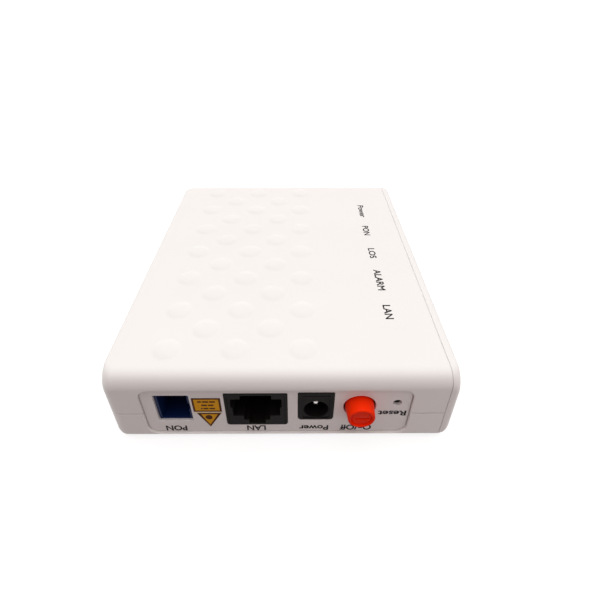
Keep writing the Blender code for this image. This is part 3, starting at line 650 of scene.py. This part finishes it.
def plan_bar(name, offset, low, high):
    """A block with the shells' plan, moved in by an offset."""
    return tool_from_rings(name, [plan_ring(offset, low), plan_ring(offset, high)])


def window_outline(grow):
    """Outline of the recess that holds the connector panel."""
    low = (PANEL_LOW.x - WINDOW_MARGIN, PANEL_LOW.z - WINDOW_MARGIN)
    high = (PANEL_HIGH.x + WINDOW_MARGIN, PANEL_HIGH.z + WINDOW_MARGIN)
    return rounded_outline(low, high, WINDOW_CORNER, WINDOW_CORNER, grow, steps=12)


def window_tool():
    """The recess in the front walls."""
    return hole_tool("window", window_outline, 0.0, WINDOW_DEPTH, WINDOW_EDGE)


def make_upper_shell():
    """Dimpled cover with its walls."""
    bm = bmesh.new()
    top_steps = int((DEPTH - 2 * TOP_EDGE) / DOME_GRID)
    end = SEAM - SEAM_GROOVE / 2
    rings = case_rings(LEFT, end, LEFT_EDGES, SEAM_EDGES, domed=True, top_steps=top_steps)
    ring_solid(bm, rings)
    shell = new_object("cover_shell", bm, "white_plastic")
    carve(shell, [
        parting_tool("below", PARTING + PARTING_GAP / 2, 1),
        cavity_tool(),
        plan_bar("rebate", REBATE_INSET, PARTING - 2, PARTING + REBATE_RISE),
        window_tool(),
    ])
    finish_piece(shell, stands_for=["upper_shell"])


def make_lower_shell():
    """Floor and lower walls with a lip, foot seats, screw wells and vent slots."""
    bm = bmesh.new()
    ring_solid(bm, case_rings(LEFT, SEAM - SEAM_GROOVE / 2, LEFT_EDGES, SEAM_EDGES))
    shell = new_object("base_shell", bm, "white_plastic")
    carve(shell, [parting_tool("above", PARTING - PARTING_GAP / 2, -1)])
    carve(shell, [plan_bar("lip", LIP_INSET, PARTING - 1, PARTING + LIP_RISE)], "UNION")
    carve(shell, [cavity_tool(), window_tool(), *seat_and_well_tools(), *vent_tools()])
    finish_piece(shell, stands_for=["lower_shell"])


def round_tool(name, middle, radius, depth, edge):
    """A round cutter up into the floor."""
    def outline(grow):
        return circle_outline(middle.x, middle.y, radius + grow)

    return upright_tool(name, outline, depth, edge)


def seat_and_well_tools():
    """Cutters for the seats of the feet and for the screw wells."""
    tools = []
    for number in range(1, 5):
        low, high = case_box(f"rubber_foot_{number}")
        radius = (high.x - low.x) / 2 + SEAT_GAP
        tools.append(round_tool(f"seat_{number}", (low + high) / 2, radius, SEAT_DEPTH, 0.15))
        low, high = case_box(f"case_screw_{number}")
        tools.append(round_tool(f"well_{number}", (low + high) / 2, WELL_RADIUS, WELL_DEPTH, 0.2))
    return tools


def vent_tools():
    """Cutters for the two banks of vent slots."""
    tools = []
    for row in range(VENT_ROWS):
        y = VENT_FIRST_Y + row * VENT_PITCH
        for side in (-1, 1):

            def slot(grow, x=side * VENT_BANK_X, y=y):
                low = (x - VENT_HALF[0], y - VENT_HALF[1])
                high = (x + VENT_HALF[0], y + VENT_HALF[1])
                return rounded_outline(low, high, VENT_CORNER, VENT_CORNER, grow)

            tools.append(upright_tool(f"vent_{row}_{side}", slot, WALL + 1, 0.2))
    return tools


def make_screw_wells():
    """Tubes inside the case that carry the screws: a wide end below and a narrow one above."""
    outer, wide, narrow = 3.2, WELL_RADIUS + 0.05, 1.3
    low, step, high = 1.2, 6.0, 9.2
    profile = (
        (wide, low), (outer, low), (outer, high), (narrow, high), (narrow, step), (wide, step),
    )
    for number in range(1, 5):
        middle = sum(case_box(f"case_screw_{number}"), Vector()) / 2
        bm = bmesh.new()
        loops = []
        for radius, z in profile:
            circle = circle_outline(middle.x, middle.y, radius, 32)
            loops.append([bm.verts.new(at(x, y, z)) for x, y in circle])
        join_loops(bm, loops + loops[:1])
        well = new_object(f"screw_well_{number}", bm, "white_plastic")
        finish_piece(well)


def make_side_cap():
    """End plate behind the seam, with a shallow step that closes the groove."""
    groove_low = SEAM - SEAM_GROOVE / 2
    groove_high = SEAM + SEAM_GROOVE / 2
    step = case_rings(groove_low + 0.01, SEAM, STEP_EDGES, STEP_EDGES, offset=SEAM_DEPTH)
    plate = case_rings(groove_high, RIGHT, SEAM_EDGES, CAP_EDGES, stretch=CAP_BOTTOM_STRETCH)
    bm = bmesh.new()
    ring_solid(bm, [step[0], step[-1]] + plate)
    cap = new_object("end_cap", bm, "white_plastic")
    finish_piece(cap, stands_for=["side_cap"])


# ---------------------------------------------------------------- port panel

def lan_outline(grow):
    """Front outline of the network jack."""
    low = (LAN_LOW.x, LAN_LOW.z)
    return rounded_outline(low, (LAN_HIGH.x, LAN_HIGH.z), 0.8, 0.25, grow)


def dc_outline(grow):
    """Front outline of the power inlet."""
    return rounded_outline((DC_LOW.x, DC_LOW.z), (DC_HIGH.x, DC_HIGH.z), 0.9, 0.25, grow)


def pon_outline(grow):
    """Outline of the fibre port's opening."""
    low = (PON_X - PON_HALF[0], PON_Z - PON_HALF[1])
    return rounded_outline(low, (PON_X + PON_HALF[0], PON_Z + PON_HALF[1]), 0.35, 0.35, grow)


def button_hole(grow):
    """Hole around the power button."""
    return circle_outline(BUTTON_X, BUTTON_Z, BUTTON_HOLE + grow, 72)


def reset_hole(grow):
    """Pinhole in front of the reset plunger."""
    return circle_outline(RESET_X, RESET_Z, RESET_HOLE + grow)


def make_panel():
    """Recessed plate with its openings."""
    face, back = PANEL_LOW.y, PANEL_HIGH.y

    def plate(grow):
        return window_outline(grow - PANEL_GAP)

    bm = bmesh.new()
    ring_solid(bm, plug_rings(plate, face, back, 0.15))
    panel = new_object("port_panel", bm, "panel_plastic")

    def around_jack(outline):
        return lambda grow: outline(grow + JACK_GAP)

    past = back + 1
    carve(panel, [
        hole_tool("lan_window", around_jack(lan_outline), face, past, 0.12),
        hole_tool("dc_window", around_jack(dc_outline), face, past, 0.12),
        hole_tool("pon_window", pon_outline, face, past, 0.15),
        hole_tool("button_hole", button_hole, face, past, 0.15),
        hole_tool("reset_hole", reset_hole, face, past, 0.12),
        tool_from_rings("reset_counterbore", [
            facing(reset_hole(RESET_STEP), face + RESET_RIM),
            facing(reset_hole(RESET_STEP), past),
        ]),
    ])
    finish_piece(panel, stands_for=["connector_panel"])


def stepped_mouth(grow):
    """Front opening of the network jack: contact notch, wide mouth and two latch steps."""
    levels = (      # height and half width, from the top down
        (15.85 + grow, 3.95 + grow), (14.45 + grow, 3.95 + grow),
        (14.45 + grow, 6.25 + grow), (14.2 + grow, 6.5 + grow),
        (11.4, 6.5 + grow), (10.9, 6.05 + grow),
        (8.0 - grow, 6.05 + grow), (8.0 - grow, 3.4 + grow),
        (6.25 - grow, 3.4 + grow), (6.25 - grow, 2.1 + grow), (4.75 - grow, 2.1 + grow),
    )
    right = [(LAN_X + half, z) for z, half in levels]
    left = [(LAN_X - half, z) for z, half in reversed(levels)]
    return right + left


def make_lan_jack():
    """Network jack: housing with its stepped mouth and a fine groove down each side."""
    face = LAN_LOW.y
    bm = bmesh.new()
    ring_solid(bm, plug_rings(lan_outline, face, LAN_HIGH.y, 0.15))
    jack = new_object("lan_jack", bm, "black_plastic")
    tools = [hole_tool("lan_mouth", stepped_mouth, face, LAN_MOUTH_END, 0.18)]
    for side in (-1, 1):

        def groove(grow, x=LAN_X + side * LAN_GROOVE_X):
            low, high = LAN_GROOVE_Z
            return rounded_outline((x - 0.06, low), (x + 0.06, high), 0.05, 0.05, grow, 2)

        tools.append(hole_tool(f"lan_groove_{side}", groove, face, face + 0.2, 0.05))
    carve(jack, tools)
    finish_piece(jack, stands_for=["lan_jack_housing"])


def make_contact_carrier():
    """Comb deep in the network jack, with a slot for each contact."""
    bm = bmesh.new()
    middle = Vector((LAN_X, 0.0, 0.0))
    block(bm, middle + CARRIER_LOW, middle + CARRIER_HIGH)
    comb = new_object("lan_carrier", bm, "black_plastic")
    slots = []
    for number in range(1, 9):
        low, high = case_box(f"lan_contact_{number}")
        middle = Vector(((low.x + high.x) / 2, 0.0, 0.0))
        bm = bmesh.new()
        block(bm, middle + COMB_LOW, middle + COMB_HIGH)
        slots.append(new_object(f"comb_slot_{number}", bm))
    carve(comb, slots)
    finish_piece(comb, stands_for=["lan_contact_carrier"])


def dc_mouth(grow):
    """Round mouth of the power inlet."""
    return circle_outline(PIN_X, PIN_Z, DC_MOUTH + grow, 64)


def make_power_inlet():
    """Barrel inlet: a sunken field with the round mouth, and a fine groove above it."""
    face = DC_LOW.y
    left, right = DC_LOW.x + DC_FIELD_INSETS[0], DC_HIGH.x - DC_FIELD_INSETS[1]

    def field(grow):
        return rounded_outline((left, DC_LOW.z + 0.6), (right, DC_HIGH.z - 2.0), 0.5, 0.15, grow)

    def groove(grow):
        low = (left, DC_HIGH.z - 1.35)
        return rounded_outline(low, (right, DC_HIGH.z - 1.2), 0.07, 0.07, grow, 3)

    bm = bmesh.new()
    ring_solid(bm, plug_rings(dc_outline, face, DC_HIGH.y, 0.15))
    inlet = new_object("power_inlet", bm, "black_plastic")
    carve(inlet, [hole_tool("dc_field", field, face, face + DC_FIELD_DEPTH, 0.08)])
    carve(inlet, [
        hole_tool("dc_mouth", dc_mouth, face + DC_FIELD_DEPTH, face + DC_MOUTH_DEPTH, 0.25),
        hole_tool("dc_groove", groove, face, face + 0.2, 0.06),
    ])
    finish_piece(inlet, stands_for=["power_jack_housing"])


def make_centre_pin():
    """Pin of the power inlet, with a round tip."""
    radius = (PIN_HIGH.x - PIN_LOW.x) / 2
    profile = [(0.05, PIN_LOW.y)]
    profile += rounded_shoulder(radius, PIN_LOW.y, radius, 8)[1:]
    profile.append((radius, PIN_HIGH.y))
    bm = bmesh.new()
    ring_solid(bm, turned_rings(PIN_X, PIN_Z, profile, 32))
    pin = new_object("centre_pin", bm, "nickel")
    finish_piece(pin, stands_for=["power_jack_pin"])


def make_fibre_port():
    """Blue fibre receptacle with a keyway and lead-in edges."""
    face = PON_LOW.y

    def nozzle(grow):
        return pon_outline(grow - 0.15)

    def cavity(grow):
        low = (PON_X - PON_CAVITY[0], PON_Z - PON_CAVITY[1])
        return rounded_outline(low, (PON_X + PON_CAVITY[0], PON_Z + PON_CAVITY[1]), 0.2, 0.2, grow)

    flange = [facing(nozzle(0.45), PON_NOZZLE_END + 0.05), facing(nozzle(0.45), PON_HIGH.y)]
    bm = bmesh.new()
    ring_solid(bm, plug_rings(nozzle, face, PON_NOZZLE_END, 0.1) + flange)
    port = new_object("fibre_port", bm, "blue_plastic")
    key = bmesh.new()
    block(key, (PON_X, 1.0, PON_Z - 1.2), (PON_X + PON_CAVITY[0] + 0.4, 16.0, PON_Z + 1.2))
    carve(port, [
        hole_tool("fibre_cavity", cavity, face, PON_CAVITY_END, 0.12),
        new_object("fibre_key", key),
    ])
    finish_piece(port, stands_for=["pon_receptacle"])


def make_button():
    """Tapered round button with a sunken face and a bar across it."""
    front, back = BUTTON_LOW.y, BUTTON_HIGH.y
    tip, base, face = 3.42, 3.68, 2.72        # radii of the front, the foot and the sunken face
    sunk, edge = 0.35, 0.4
    profile = [      # a flat disc with a channel around it, and then the rim's inner edge
        (0.05, front + sunk), (face - 0.42, front + sunk), (face - 0.36, front + sunk + 0.06),
        (face - 0.34, front + sunk + 0.3), (face - 0.05, front + sunk + 0.3),
        (face, front + sunk + 0.2), (face, front + 0.12),
        (face + 0.04, front + 0.03), (face + 0.12, front),
    ]
    profile += rounded_shoulder(tip, front, edge, 8)
    profile += [(base, PANEL_LOW.y), (base, back - 0.2), (base - 0.2, back), (0.05, back)]
    bm = bmesh.new()
    ring_solid(bm, turned_rings(BUTTON_X, BUTTON_Z, profile, 72))
    button = new_object("orange_button", bm, "orange_plastic")

    def bar(grow):
        low = (BUTTON_X - 1.45, BUTTON_Z - 0.5)
        return rounded_outline(low, (BUTTON_X + 2.05, BUTTON_Z + 0.05), 0.25, 0.25, grow)

    carve(button, [hole_tool("button_bar", bar, front + sunk, front + sunk + 0.4, 0.08)])
    finish_piece(button, "power_button", stands_for=["power_button_cap"])


# ---------------------------------------------------------------- printed words

INK_THICKNESS = 0.008
INK_LIFT = 0.012
COVER_STROKE = 0.022              # how far the strokes grow, as a share of the letters' size
PANEL_STROKE = 0.03
COVER_LETTER_HEIGHT = 2.2

# Text, x of the baseline, and y where the word starts and where it ends
COVER_WORDS = (
    ("Power", 29.05, 92.1, 82.0),
    ("PON", 28.75, 74.9, 68.0),
    ("LOS", 28.75, 58.95, 52.7),
    ("ALARM", 28.7, 45.9, 34.9),
    ("LAN", 28.75, 27.9, 21.7),
)

# Name, text, x where the word starts and where it ends, z of the baseline, and height
PANEL_WORDS = (
    ("pon", "PON", -25.4, -31.0, 3.65, 2.1),
    ("lan", "LAN", -4.4, -9.4, 3.6, 2.05),
    ("power", "Power", 12.3, 4.45, 3.6, 2.0),
    ("on_off", "On/Off", 23.75, 15.4, 3.75, 2.15),
    ("reset", "Reset", 32.2, 24.9, 9.7, 1.95),
)


def flat_letters(name, text):
    """Flat mesh of a word in Blender's own typeface."""
    curve = bpy.data.curves.new(name, "FONT")
    curve.body = text
    curve.resolution_u = 6
    lettering = bpy.data.objects.new(name, curve)
    bpy.context.scene.collection.objects.link(lettering)
    evaluated = lettering.evaluated_get(bpy.context.evaluated_depsgraph_get())
    bm = bmesh.new()
    bm.from_mesh(evaluated.to_mesh())
    bpy.data.objects.remove(lettering)
    return bm


def thicken(bm, growth):
    """Move the outline of flat letters outwards, so that their strokes get heavier."""
    bmesh.ops.remove_doubles(bm, verts=bm.verts, dist=0.001)
    shifts = {}
    for vertex in bm.verts:
        outward = []
        for edge in vertex.link_edges:
            if edge.is_boundary:
                start, end = edge.verts
                across = (end.co - start.co).cross(Vector((0, 0, 1))).normalized()
                inside = edge.link_faces[0].calc_center_median() - start.co
                outward.append(-across if across.dot(inside) > 0 else across)
        if len(outward) == 2:
            corner = max(1 + outward[0].dot(outward[1]), 0.5)
            shifts[vertex] = (outward[0] + outward[1]) * growth / corner
    for vertex, shift in shifts.items():
        vertex.co += shift


def legend(name, text, corner, reading, rising, size, stroke):
    """Printed word: corner is where its baseline starts, and size its width and height."""
    bm = flat_letters(name, text)
    thicken(bm, stroke)
    xs = [vertex.co.x for vertex in bm.verts]
    top = max(vertex.co.y for vertex in bm.verts)
    width, height = size
    reading = Vector(reading)
    rising = Vector(rising)
    outwards = reading.cross(rising)
    start = at(*corner)
    for vertex in bm.verts:
        across = (vertex.co.x - min(xs)) / (max(xs) - min(xs)) * width
        up = vertex.co.y / top * height
        vertex.co = start + (reading * across + rising * up + outwards * INK_LIFT) * MM
    film = bmesh.ops.extrude_face_region(bm, geom=bm.faces[:])["geom"]
    raised = [part for part in film if isinstance(part, bmesh.types.BMVert)]
    bmesh.ops.translate(bm, verts=raised, vec=outwards * INK_THICKNESS * MM)
    word = new_object(name, bm, "legend_ink")
    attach(word, "case")


def make_legends():
    """Plain functional words on the cover and on the panel."""
    for text, x, start, end in COVER_WORDS:
        corner = (x, start, HEIGHT)
        size = (start - end, COVER_LETTER_HEIGHT)
        legend(f"cover_{text.lower()}", text, corner, (0, -1, 0), (1, 0, 0), size, COVER_STROKE)
    for name, text, start, end, z, height in PANEL_WORDS:
        corner = (start, PANEL_LOW.y, z)
        size = (start - end, height)
        legend(f"panel_{name}", text, corner, (-1, 0, 0), (0, 0, -1), size, PANEL_STROKE)


# ---------------------------------------------------------------- sticker

STICKER_LEFT, STICKER_RIGHT = -22.6, -15.35
STICKER_TOP, STICKER_LOW = 15.05, 9.7          # of its rectangle
STICKER_SHOULDER = STICKER_LOW - 0.55          # top of its triangle
STICKER_MIDDLE, STICKER_TIP = -18.98, 3.35
STICKER_RIM = 0.5
STICKER_FILM = 0.05
STICKER_LIFT = 0.01
DOT_Z, DOT_RADIUS = 7.4, 0.92

# Height of each row, and where its dashes start and end to each side of the middle
DASH_ROWS = (
    (13.65, ((-2.2, -1.3), (-1.05, 0.55), (0.8, 2.3))),
    (12.3, ((-1.35, 0.1), (0.35, 1.75))),
    (11.0, ((-1.6, -1.2), (-0.95, 0.3), (0.55, 2.0))),
)
DASH_HALF = 0.3


def flat_shape(name, outline, y, thickness, material):
    """A thin printed shape on the panel."""
    bm = bmesh.new()
    ring_solid(bm, [facing(outline, y), facing(outline, y - thickness)])
    shape = new_object(name, bm, material)
    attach(shape, "case")
    return shape


def sticker_print(name, outline, layer, material):
    """A shape printed on the sticker. Each layer lies over the one before."""
    y = PANEL_LOW.y - STICKER_FILM - 0.002 - STICKER_LIFT * layer
    flat_shape(name, outline, y, INK_THICKNESS, material)


def make_sticker():
    """Two-part sticker: a bordered rectangle with blank dashes, and a triangle with a plain dot."""
    left, right, top, low = STICKER_LEFT, STICKER_RIGHT, STICKER_TOP, STICKER_LOW
    middle, tip, shoulder, rim = STICKER_MIDDLE, STICKER_TIP, STICKER_SHOULDER, STICKER_RIM
    backing = [
        (left, top), (left, low), (left + 0.7, shoulder), (middle, tip),
        (right - 0.2, shoulder), (right, low), (right, top),
    ]
    face = PANEL_LOW.y - STICKER_LIFT
    base = flat_shape("sticker", backing, face, STICKER_FILM, "sticker_brown")
    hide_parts("port_sticker")
    field = [
        (left + rim, top - rim), (left + rim, low + rim),
        (right - rim, low + rim), (right - rim, top - rim),
    ]
    line = [
        (left, low), (left + 0.65, shoulder + 0.05),
        (right - 0.2, shoulder + 0.05), (right, low),
    ]
    triangle = [
        (left + 1.75, shoulder - rim), (middle, tip + 0.85), (right - 1.2, shoulder - rim)
    ]
    sticker_print("sticker_field", field, 1, "sticker_yellow")
    sticker_print("sticker_line", line, 1, "sticker_pale")
    sticker_print("sticker_triangle", triangle, 1, "sticker_yellow")
    dot = circle_outline(middle, DOT_Z, DOT_RADIUS, 32)
    sticker_print("sticker_dot", dot, 2, "sticker_brown")
    for row, (z, dashes) in enumerate(DASH_ROWS, 1):
        for number, (start, end) in enumerate(dashes, 1):
            corner = (middle + start, z - DASH_HALF)
            dash = rounded_outline(corner, (middle + end, z + DASH_HALF), 0.1, 0.1)
            sticker_print(f"sticker_dash_{row}_{number}", dash, 2, "sticker_dash")


# ---------------------------------------------------------------- feet and CAD nodes

def make_feet():
    """Round rubber feet with soft edges."""
    for number in range(1, 5):
        low, high = case_box(f"rubber_foot_{number}")
        middle = (low + high) / 2
        radius = (high.x - low.x) / 2
        profile = [(0.05, low.z), *rounded_shoulder(radius, low.z, 0.3, 5)]
        profile += [(radius, high.z), (0.05, high.z)]
        rings = []
        for reach, z in profile:
            rings.append([at(x, y, z) for x, y in circle_outline(middle.x, middle.y, reach)])
        bm = bmesh.new()
        ring_solid(bm, rings)
        foot = new_object(f"foot_{number}", bm, "grey_rubber")
        finish_piece(foot, stands_for=[f"rubber_foot_{number}"])


def dress_cad_nodes():
    """Give every CAD node that still shows its slot's material and smooth shading."""
    slots = {part["node"]: part["material_slot"] for part in frame["record"]["subparts"]}
    for name, node in frame["nodes"].items():
        if node.hide_render:
            continue
        node.data.materials.clear()
        node.data.materials.append(MATERIALS[slots[name]])
        for polygon in node.data.polygons:
            polygon.use_smooth = True
        node.data.set_sharp_from_angle(angle=SHARP_ANGLE)


# ---------------------------------------------------------------- studio

OVERHEAD_LIGHT = (1.06, 1.04, 1.02)
BACK_LIGHT = (1.02, 1.007, 0.99)
FRONT_LIGHT = (0.325, 0.252, 0.248)
LOW_LIGHT = (0.22, 0.185, 0.18)
BACK_STEP = (-0.65, 0.15)         # y of the direction where front light turns into back light
HORIZON_STEP = (-0.12, 0.12)      # z of the direction where low light ends
OVERHEAD_STEP = (0.72, 0.92)      # z of the direction where overhead light starts

FILL_PLACE = (0.14, -0.17, 0.04)  # in metres, as are the next two
FILL_TARGET = (0.03, -0.055, 0.012)
FILL_SIZE = (0.08, 0.05)
FILL_POWER = 0.022
FILL_COLOUR = (1.0, 0.93, 0.92)

FLOOR_TONES = ((0.30, 0.30, 0.30), (0.32, 0.32, 0.32))
FLOOR_GLOW = 0.79
FLOOR_HALF_WIDTH = 40.0           # in metres

CAMERA_X = 3.53
CAMERA_BEFORE_FRONT = 66.85
CAMERA_ABOVE_BASE = 100.15
CAMERA_TILT = 51.776
CAMERA_ROLL = -0.053
CAMERA_TURN = -0.285
CAMERA_LENS = 25.42
CAMERA_SHIFT = (0.0049, -0.0037)


def make_fill_lamp():
    """A weak soft lamp that lights the right end of the front wall."""
    lamp = bpy.data.lights.new("right_fill", "AREA")
    lamp.shape = "RECTANGLE"
    lamp.size, lamp.size_y = FILL_SIZE
    lamp.energy = FILL_POWER
    lamp.color = FILL_COLOUR
    item = bpy.data.objects.new("right_fill", lamp)
    item.location = FILL_PLACE
    aim = Vector(FILL_TARGET) - Vector(FILL_PLACE)
    item.rotation_euler = aim.to_track_quat("-Z", "Y").to_euler()
    bpy.context.scene.collection.objects.link(item)


def make_floor():
    """Plain pale floor that glows a little, so that it looks white in the dim light in front."""
    material, tree, shader = new_material("pale_floor")
    cloud = spread(tree, noise(tree, 3.0), 0.0, 1.0)
    tree.links.new(blend_colours(tree, cloud, *FLOOR_TONES), shader.inputs["Base Color"])
    shader.inputs["Roughness"].default_value = 0.9
    shader.inputs["Specular IOR Level"].default_value = 0.1
    shader.inputs["Emission Color"].default_value = (1.0, 1.0, 1.0, 1.0)
    shader.inputs["Emission Strength"].default_value = FLOOR_GLOW
    bm = bmesh.new()
    bmesh.ops.create_grid(bm, x_segments=1, y_segments=1, size=FLOOR_HALF_WIDTH)
    floor = new_object("floor", bm)
    floor.data.materials.append(material)
    floor.location.z = CAD_LOW.z
    floor.visible_diffuse = False


def soft_step(tree, value, low, high):
    """0 below one limit and 1 above another, with a smooth step between them."""
    step = add_node(tree, "ShaderNodeMapRange", interpolation_type="SMOOTHSTEP")
    step.inputs["From Min"].default_value = low
    step.inputs["From Max"].default_value = high
    tree.links.new(value, step.inputs["Value"])
    return step.outputs["Result"]


def make_surroundings():
    """Light by its direction: bright behind, dim in front, dimmer below, and more from overhead."""
    world = bpy.data.worlds.new("studio")
    world.use_nodes = True
    tree = world.node_tree
    direction = add_node(tree, "ShaderNodeSeparateXYZ")
    coordinates = add_node(tree, "ShaderNodeTexCoord")
    tree.links.new(coordinates.outputs["Generated"], direction.inputs["Vector"])
    back = soft_step(tree, direction.outputs["Y"], *BACK_STEP)
    above = soft_step(tree, direction.outputs["Z"], *HORIZON_STEP)
    overhead = soft_step(tree, direction.outputs["Z"], *OVERHEAD_STEP)
    sides = blend_colours(tree, back, FRONT_LIGHT, BACK_LIGHT)
    around = blend_colours(tree, above, LOW_LIGHT, sides)
    extra = blend_colours(tree, overhead, (0.0, 0.0, 0.0), OVERHEAD_LIGHT)
    total = blend_colours(tree, 1.0, around, extra, "ADD")
    tree.links.new(total, tree.nodes["Background"].inputs["Color"])
    bpy.context.scene.world = world
    bpy.context.scene.view_settings.view_transform = "Standard"


def make_camera():
    """Wide view from close above the front edge."""
    camera = bpy.data.cameras.new("camera")
    camera.lens = CAMERA_LENS
    camera.shift_x, camera.shift_y = CAMERA_SHIFT
    camera.clip_start = 0.005
    item = bpy.data.objects.new("camera", camera)
    item.location = at(CAMERA_X, -CAMERA_BEFORE_FRONT, CAMERA_ABOVE_BASE)
    item.rotation_euler = [math.radians(angle) for angle in (CAMERA_TILT, CAMERA_ROLL, CAMERA_TURN)]
    bpy.context.scene.collection.objects.link(item)
    bpy.context.scene.camera = item


MATERIALS = make_materials()
make_camera()
make_surroundings()
make_fill_lamp()
make_floor()
make_upper_shell()
make_lower_shell()
make_screw_wells()
make_side_cap()
make_panel()
make_lan_jack()
make_contact_carrier()
make_power_inlet()
make_centre_pin()
make_fibre_port()
make_button()
make_legends()
make_sticker()
make_feet()
dress_cad_nodes()
